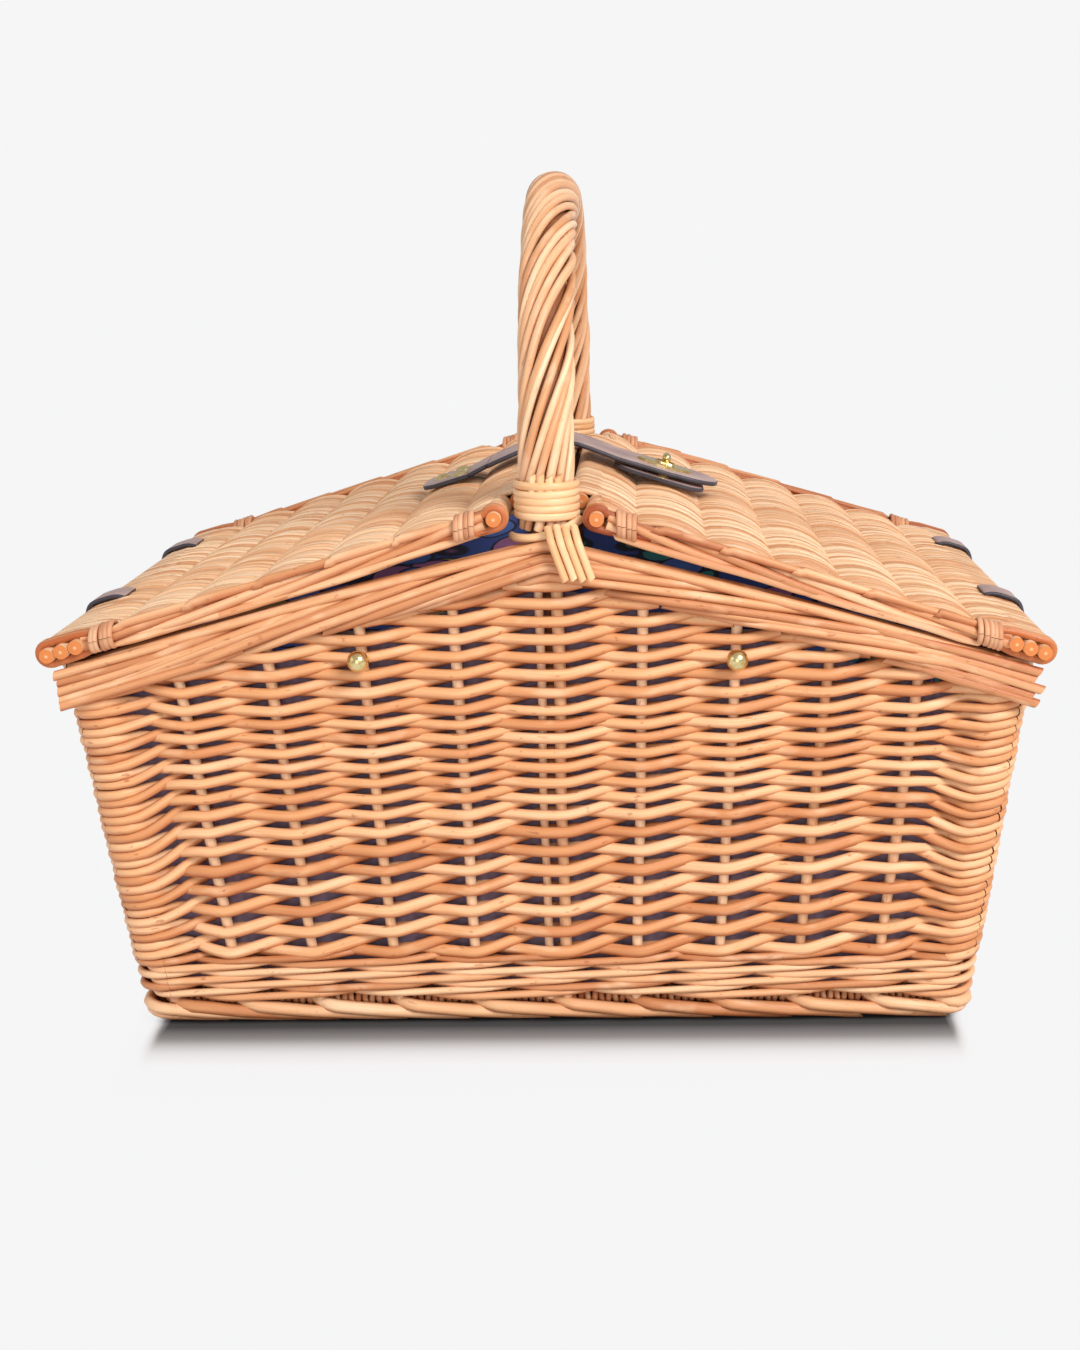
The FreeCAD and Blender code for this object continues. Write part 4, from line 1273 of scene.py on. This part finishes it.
# leather hinges
TOPW = 12.9 + 2.2
LEATHER_LOW = 12.95
HINGE_W = 12.9 + 1.1
HINGE_TOP = ((19.5, 11.6), (17.5, HINGE_W - 0.9), (14.5, HINGE_W), (8.0, HINGE_W), (1.6, HINGE_W - 0.2))
for side, sgn in (("left", -1), ("right", 1)):
    for face in ("front", "back"):
        node = f"{side}_{face}_hinge_strap"
        lo, hi = mm(node)
        end_x = sgn * (lo, hi)[sgn > 0][0] - 1.1
        pts = [lid_point("left", u, 0, w) for u, w in HINGE_TOP]
        line = [(p[0], p[2]) for p in pts] + [(-end_x + 0.6, 198.5), (-end_x, 194.0), (-end_x, lo[2] + 0.5)]
        if side == "right":
            line = [(-x, z) for x, z in line]
        across = ("basket", side + "_lid", (sgn * 0.2345, 0, 0.187), (sgn * 0.2315, 0, 0.2035))
        half_w = (hi[1] - lo[1]) / 2 - 0.3
        grid_strip(node + "_leather", line, half_w, 2.2, node, across, wave=0.25, y0=(lo[1] + hi[1]) / 2)
shapes = []
for sgn in (-1, 1):
    for face in ("front", "back"):
        lo, hi = mm(f"left_{face}_hinge_strap")
        head = (sgn * (-lo[0] - 0.1), (lo[1] + hi[1]) / 2, 177.0)
        shapes.append(onto(lathe(dome_profile(4.0, 1.5)), head, (sgn, 0, 0)))
gather("hinge_rivet_heads", shapes, "basket", "hinge_rivets")

# clasp: tab, strap in two parts, keeper, lock
LOCK_U = 188.3


def lid_plate(name, side, outline, node):
    """A flat leather piece on a lid, from its (u, v) outline."""
    n = len(outline)
    c = np.mean(outline, axis=0)
    V = []
    for w, k in ((LEATHER_LOW, 0.97), (LEATHER_LOW + 0.5, 1.0), (TOPW - 0.5, 1.0), (TOPW, 0.97)):
        for p in outline:
            q = c + (np.asarray(p) - c) * k
            V.append(tuple(lid_point(side, q[0], q[1], w)))
    F = [f for level in range(3) for f in band(level * n, (level + 1) * n, n)]
    M = [1] * len(F) + [0, 0]
    F += [tuple(range(n))[::-1], tuple(3 * n + k for k in range(n))]
    return place(skin(name, V, F, (m_leather, m_leather_edge), M), name, side + "_lid", [node])


def lid_domes(name, side, r, h, places, node):
    """Rivet heads on a lid's leather."""
    up = tuple(lid_dir(side, 0.0, 0.0, 1.0))
    shapes = [onto(lathe(dome_profile(r, h)), tuple(lid_point(side, u, v, TOPW)), up) for u, v in places]
    gather(name, shapes, side + "_lid", node)


def rounded(u0, u1, hv, r, ends):
    """Outline of a strip end, rounded at the ends given."""
    pts = []
    right, left, top = u1 - r, u0 + r, hv - r
    for cx, cy, a0, end in (
        (right, top, 0, 1), (left, top, PI / 2, 0), (left, -top, PI, 0), (right, -top, 1.5 * PI, 1)
    ):
        if end in ends:
            for k in range(9):
                a = a0 + k * PI / 16
                pts.append((cx + r * math.cos(a), cy + r * math.sin(a)))
        else:
            sx, sy = math.copysign(r, math.cos(a0 + 0.7)), math.copysign(r, math.sin(a0 + 0.7))
            pts.append((cx + sx, cy + sy))
    return pts


lid_plate("clasp_tab_leather", "left", rounded(169.9, 196.2, 18.7, 11, (0,)), "clasp_tab")
lid_plate("keeper_tab_leather", "right", rounded(165.6, 214.0, 22.7, 12, (0, 1)), "keeper_tab")
lid_domes(
    "clasp_tab_rivet_heads", "left", 4.6, 1.9, ((180.0, 0.0), (190.2, -8.5), (190.2, 8.5)),
    "clasp_tab_rivets"
)
lid_domes("keeper_rivet_heads", "right", 3.2, 1.2, ((LOCK_U, -17.5), (LOCK_U, 17.5)), "keeper_rivets")

STRAP_T, FLAP_HALF_W, TIP_L = 2.3, 19.8, 24
BEND_AT = (-0.0369, 0, 0.2645)
start = lid_point("left", 195.4, 0, LEATHER_LOW + 1.1)
line = [(start[0], start[2]), (-43.0, 261.5), (-37.6, 264.1), (-36.6, 264.7)]
bend = ("left_lid", "clasp_bend", (-0.0445, 0, 0.2608), BEND_AT)
grid_strip("clasp_bend_leather", line, 18.9, STRAP_T, "clasp_bend", bend)
tip_x = mm("clasp_flap")[1][0]
line = [
    (-36.8, 264.5), (-28.0, 268.4), (-18.0, 272.8), (-9.0, 276.1), (0.0, 277.1), (9.0, 276.2), (19.0, 272.7)
]
line += [(30.0, 268.4), (55.0, 260.9), (tip_x, 252.9)]


def pointed(t, total):
    """The flap's half width, which narrows to a rounded point."""
    d = total - t
    narrow = FLAP_HALF_W * np.sqrt(np.clip(1 - (1 - d / TIP_L) ** 2.2, 0, 1)) * 0.92 + 0.8
    return np.where(d < TIP_L, narrow, FLAP_HALF_W)


lift = ("clasp_bend", "clasp_flap", BEND_AT, (-0.026, 0, 0.2695))
grid_strip("clasp_flap_leather", line, FLAP_HALF_W, STRAP_T, "clasp_flap", lift, pointed, segs=14)


def ellipse_plate(side, u, w0, w1, a, b, inner=None, n=40, bevel=0.35):
    """A domed-edge oval plate on a lid, with a long slot if inner is given."""
    V, F = [], []
    rings = [(w0, 1.0), (w0 + bevel, 1.0), (w1 - bevel, 1.0), (w1, 1 - bevel / b)]
    for w, k in rings:
        for j in range(n):
            t = 2 * PI * j / n
            V.append(tuple(lid_point(side, u + a * k * math.cos(t), b * k * math.sin(t), w)))
    for i in range(3):
        F += band(i * n, (i + 1) * n, n)
    if inner is None:
        F.append(tuple(range(n))[::-1])
        F.append(tuple(3 * n + j for j in range(n)))
        return V, F
    ia, ib = inner
    base = len(V)
    slot = []
    for j in range(n):
        t = 2 * PI * j / n
        ct, stt = math.cos(t), math.sin(t)
        k = 1 / max(abs(ct) / ia, abs(stt) / ib, 1e-6)
        rx, ry = ct * k, stt * k
        if abs(rx) > ia - ib:
            m = (abs(rx) - (ia - ib))
            ang = math.atan2(ry, m * math.copysign(1, rx)) if m or ry else 0
            rx, ry = math.copysign(ia - ib, rx) + ib * math.cos(ang), ib * math.sin(ang)
        slot.append((rx, ry))
    for w, grow in ((w0, 1.0), (w1 + 0.9, 1.0), (w1 + 1.1, 1.18), (w1 + 0.5, 1.42), (w1, 1.46)):
        for rx, ry in slot:
            V.append(tuple(lid_point(side, u + rx * (1 + (grow - 1) * 0.62), ry * grow, w)))
    for i in range(4):
        F += band(base + i * n, base + (i + 1) * n, n)
    for top, under in zip(band(3 * n, base + 4 * n, n), band(0, base, n)):
        F += [top, under]
    return V, F


up_right = tuple(lid_dir("right", 0.0, 0.0, 1.0))
eyelet = ellipse_plate("right", LOCK_U, 18.9, 20.4, 14.8, 9.8, inner=(4.7, 2.6))
gather("lock_eyelet_plate", [eyelet], "clasp_flap", "lock_plate")
base = ellipse_plate("right", LOCK_U, 15.15, 16.2, 11.8, 7.8)
post_line = [(3.4, 0), (3.4, 0.5), (2.0, 1.1), (1.8, 1.6), (1.8, 4.7), (1.2, 5.0)]
post = onto(lathe(post_line), tuple(lid_point("right", LOCK_U, 0, 16.1)), up_right)
gather("lock_base_plate", [base, post], "right_lid", "lock_base")
bar_half = [(1.95, 0), (2.1, 1.5), (2.25, 3.6), (1.7, 4.6), (0.6, 4.9)]
bar_line = [(0.6, -4.9), (1.7, -4.6), (2.25, -3.6), (2.1, -1.5)] + bar_half
bar = onto(lathe(bar_line), tuple(lid_point("right", LOCK_U, 0, 23.4)), (0, 1, 0), up_right)
neck = onto(lathe([(2.2, 0), (2.2, 1.2), (1.7, 2.2)]), tuple(lid_point("right", LOCK_U, 0, 21.15)), up_right)
gather("turn_knob_bar", [bar, neck], "turn_knob", "turn_knob", 50)

# brass studs with split pins
STUD_R, PIN_R, PIN_BEND_Y = 5.0, 0.8, -123.6


def pin(length, origin, direction, xaxis=(0, 1, 0)):
    return onto(lathe([(PIN_R, 0), (PIN_R, length)], 10), origin, direction, xaxis)


st_lo, st_hi = mm("wall_studs")
shapes = []
stud_z = (st_lo[2] + st_hi[2]) / 2
round_line = [(STUD_R * math.sin(a), -STUD_R * math.cos(a)) for a in np.linspace(0.15, PI - 0.15, 16)]
ball = [(0.05, -STUD_R)] + round_line + [(0.05, STUD_R)]
for sgn in (-1, 1):
    x = sgn * 2 * PITCH * (1 + FAN * stud_z)
    y = st_lo[1] + STUD_R
    shapes.append(onto(lathe(ball, 28), (x, y, stud_z), (0, -1, 0), (1, 0, 0)))
    for k in (-1, 1):
        shapes.append(pin(26.0, (x + k * 3.6, y + 3.4, stud_z), (0, 1, 0), (1, 0, 0)))
        shapes.append(pin(7.0, (x + k * 3.0, PIN_BEND_Y, stud_z), (k, 0, 0)))
        shapes.append(pin(4.0, (x, y + 3.4, stud_z), (k, 0, 0)))
gather("wall_stud_balls", shapes, "basket", "wall_studs")

# inner strap for plates
ps_lo, ps_hi = mm("plate_strap")
yo, yi = ps_lo[1] + 0.9, ps_hi[1] - 0.9
path = [(-99, yo), (-72, yo), (-22, yi), (22, yi), (72, yo), (99, yo)]
strap_z = (ps_lo[2] + ps_hi[2]) / 2
grid_strip("plate_strap_leather", path, 9.8, 1.8, "plate_strap", y0=strap_z, segs=8, upright=True)


# ---------------------------------------------------------------- lining
LINING_IN, LINING_T, LINING_DOWN = 14.5, 1.2, 24.0


def lining():
    """The printed lining: floor and walls in one skin, with the print inside and the reverse outside."""
    z0 = mm("body_lining")[0][2]
    n, rows = 360, 30
    u = np.linspace(0, STAKES, n, endpoint=False)
    s0 = s_at(u, np.full(n, 150.0))
    outer, out_dir = np.zeros((rows, n, 3)), np.zeros((rows, n, 3))
    for j in range(rows):
        q = j / (rows - 1)
        z = np.full(n, z0)
        for _ in range(3):
            P0, N0 = around(s_at(u, z), z, -(LINING_IN - STAKE_D))
            top = np.minimum(rim(P0[:, 0]) - LINING_DOWN, RIDGE_Z - LINING_DOWN)
            z = z0 + (top - z0) * q
        outer[j], out_dir[j] = P0, N0
        outer[j][:, 2] = z
    inner = outer - out_dir * np.array([1, 1, 0]) * LINING_T
    V, F, M, C = [], [], [], []
    for layer in (outer, inner):
        V += layer.reshape(-1, 3).tolist()
        C += [(s0[k] / 1000, layer[j, k, 2] / 1000, 0) for j in range(rows) for k in range(n)]
    b1 = rows * n
    for j in range(rows - 1):
        for out, (a, b, c, d) in zip(band(j * n, (j + 1) * n, n), band(b1 + j * n, b1 + (j + 1) * n, n)):
            F += [out, (a, d, c, b)]
            M += [1, 0]
    F += band(b1 - n, 2 * b1 - n, n)
    M += [0] * n
    for prev, z, layer, mat in ((0, z0, outer, 1), (b1, z0 + LINING_T, inner, 0)):
        for step in (0.66, 0.33):
            start = len(V)
            for x, y in layer[0, :, :2] * step:
                V.append((x, y, z))
                C.append((x / 1000, y / 1000, 0))
            F += [(a, d, c, b) for a, b, c, d in band(prev, start, n)]
            M += [mat] * n
            prev = start
        F.append(tuple(prev + k for k in range(n)))
        M.append(mat)
    mesh = skin("lining_cloth", V, F, (m_print, m_lilac), M, [True] * len(F))
    at = mesh.attributes.new("cloth", "FLOAT_VECTOR", "POINT")
    at.data.foreach_set("vector", np.array(C, np.float32).ravel())
    return place(mesh, "lining_cloth", "basket", ["body_lining"])


lining_cloth = lining()


# ---------------------------------------------------------------- floor, backdrop, lights and camera
WORLD_LIGHT, BACKDROP = 0.5, 0.92
SHADOW_INSET, SHADOW_STRETCH = 0.014, (5.0, 1.05, 1.0)
SHADOW_FADE = [(0.0, 0.0), (0.03, 0.1), (0.06, 0.6), (0.09, 0.9), (0.2, 1)]
# painted contact shadow: the floor's colour, darkest at the foot
SHADOW_TONE = [(0.0, 0.08), (0.025, 0.2), (0.06, 0.6), (0.09, 0.85)]

scene = bpy.context.scene
scene.view_settings.view_transform = "Standard"
scene.view_settings.look = "None"
world = bpy.data.worlds.new("studio")
scene.world = world
world.use_nodes = True
bg = world.node_tree.nodes["Background"]
bg.inputs[0].default_value = (1, 1, 1, 1)
bg.inputs[1].default_value = WORLD_LIGHT
ray = world.node_tree.nodes.new("ShaderNodeLightPath")
seen = world.node_tree.nodes.new("ShaderNodeMix")
seen.data_type = "FLOAT"
seen.inputs[2].default_value = WORLD_LIGHT
seen.inputs[3].default_value = BACKDROP
world.node_tree.links.new(ray.outputs["Is Camera Ray"], seen.inputs[0])
world.node_tree.links.new(seen.outputs[0], bg.inputs[1])

# the floor is as pale as the backdrop, and close to the foot its colour darkens into a painted contact
# shadow, where the lamps also light it
fl = Nodes("studio_floor")
pos = fl.new("ShaderNodeNewGeometry").outputs["Position"]
away = fl.new("ShaderNodeVectorMath", operation="ABSOLUTE")
fl.link(pos, away.inputs[0])
beyond = fl.vmath("SUBTRACT", away.outputs[0], (HX0 / 1000 - SHADOW_INSET, HY0 / 1000, 1.0))
ln = fl.new("ShaderNodeVectorMath", operation="LENGTH")
fl.link(fl.vmath("MULTIPLY", fl.vmath("MAXIMUM", beyond, (0.0, 0.0, 0.0)), SHADOW_STRETCH), ln.inputs[0])
reach = fl.math("MULTIPLY", ln.outputs["Value"], 2.0)
fade = fl.ramp(reach, SHADOW_FADE)
em = fl.new("ShaderNodeEmission")
em.inputs[0].default_value = (BACKDROP, BACKDROP, BACKDROP + 0.005, 1)
mixer = fl.new("ShaderNodeMixShader")
# painted contact shadow: the floor's colour darkens towards the foot
fl.link(fl.ramp(reach, SHADOW_TONE), fl.b.inputs["Base Color"])
fl.b.inputs["Roughness"].default_value = 0.9
fl.b.inputs["Specular IOR Level"].default_value = 0.1
fl.link(fade, mixer.inputs[0])
fl.link(fl.b.outputs[0], mixer.inputs[1])
fl.link(em.outputs[0], mixer.inputs[2])
fl.link(mixer.outputs[0], fl.t.nodes["Material Output"].inputs["Surface"])
mesh = bpy.data.meshes.new("floor")
mesh.from_pydata([(-30, -30, 0), (30, -30, 0), (30, 30, 0), (-30, 30, 0)], [], [(0, 1, 2, 3)])
mesh.materials.append(fl.m)
floor = bpy.data.objects.new("floor", mesh)
scene.collection.objects.link(floor)


def area(name, loc, target, size, power):
    """A round lamp that faces its target."""
    data = bpy.data.lights.new(name, "AREA")
    data.shape = "DISK"
    data.size = size
    data.energy = power
    o = bpy.data.objects.new(name, data)
    o.location = loc
    o.rotation_euler = (Vector(target) - Vector(loc)).to_track_quat("-Z", "Y").to_euler()
    scene.collection.objects.link(o)
    return o


key = area("key_light", (1.05, -1.45, 1.5), (0, 0, 0.15), 0.9, 38)
side_l = area("side_light", (-1.6, -0.9, 0.9), (0, 0, 0.15), 1.2, 3)
fill = area("front_fill", (-0.1, -1.9, 0.55), (0, 0, 0.14), 0.9, 5)

cam_data = bpy.data.cameras.new("camera")
cam = bpy.data.objects.new("camera", cam_data)
scene.collection.objects.link(cam)
scene.camera = cam
FRAME_W, FRAME_H = 1080, 1350
FOCAL, AXIS_X, AXIS_Y = 1698.2, 664.2, 758.7
yaw, pitch, roll = math.radians(0.745), math.radians(17.51), math.radians(-0.016)
cam.location = (0.04319, -0.90045, 0.38421)
fwd = Vector((math.sin(yaw) * math.cos(pitch), math.cos(yaw) * math.cos(pitch), -math.sin(pitch)))
right = Vector((math.cos(yaw), -math.sin(yaw), 0))
up = right.cross(fwd)
r2 = math.cos(roll) * right + math.sin(roll) * up
u2 = -math.sin(roll) * right + math.cos(roll) * up
rot = np.array([list(r2), list(u2), list(-fwd)]).T
cam.rotation_euler = Matrix(rot.tolist()).to_euler()
cam_data.sensor_fit = "VERTICAL"
cam_data.sensor_height = 36
cam_data.lens = FOCAL / FRAME_H * cam_data.sensor_height
cam_data.shift_x = -(AXIS_X - FRAME_W / 2) / FRAME_H
cam_data.shift_y = (AXIS_Y - FRAME_H / 2) / FRAME_H
cam_data.clip_start = 0.01
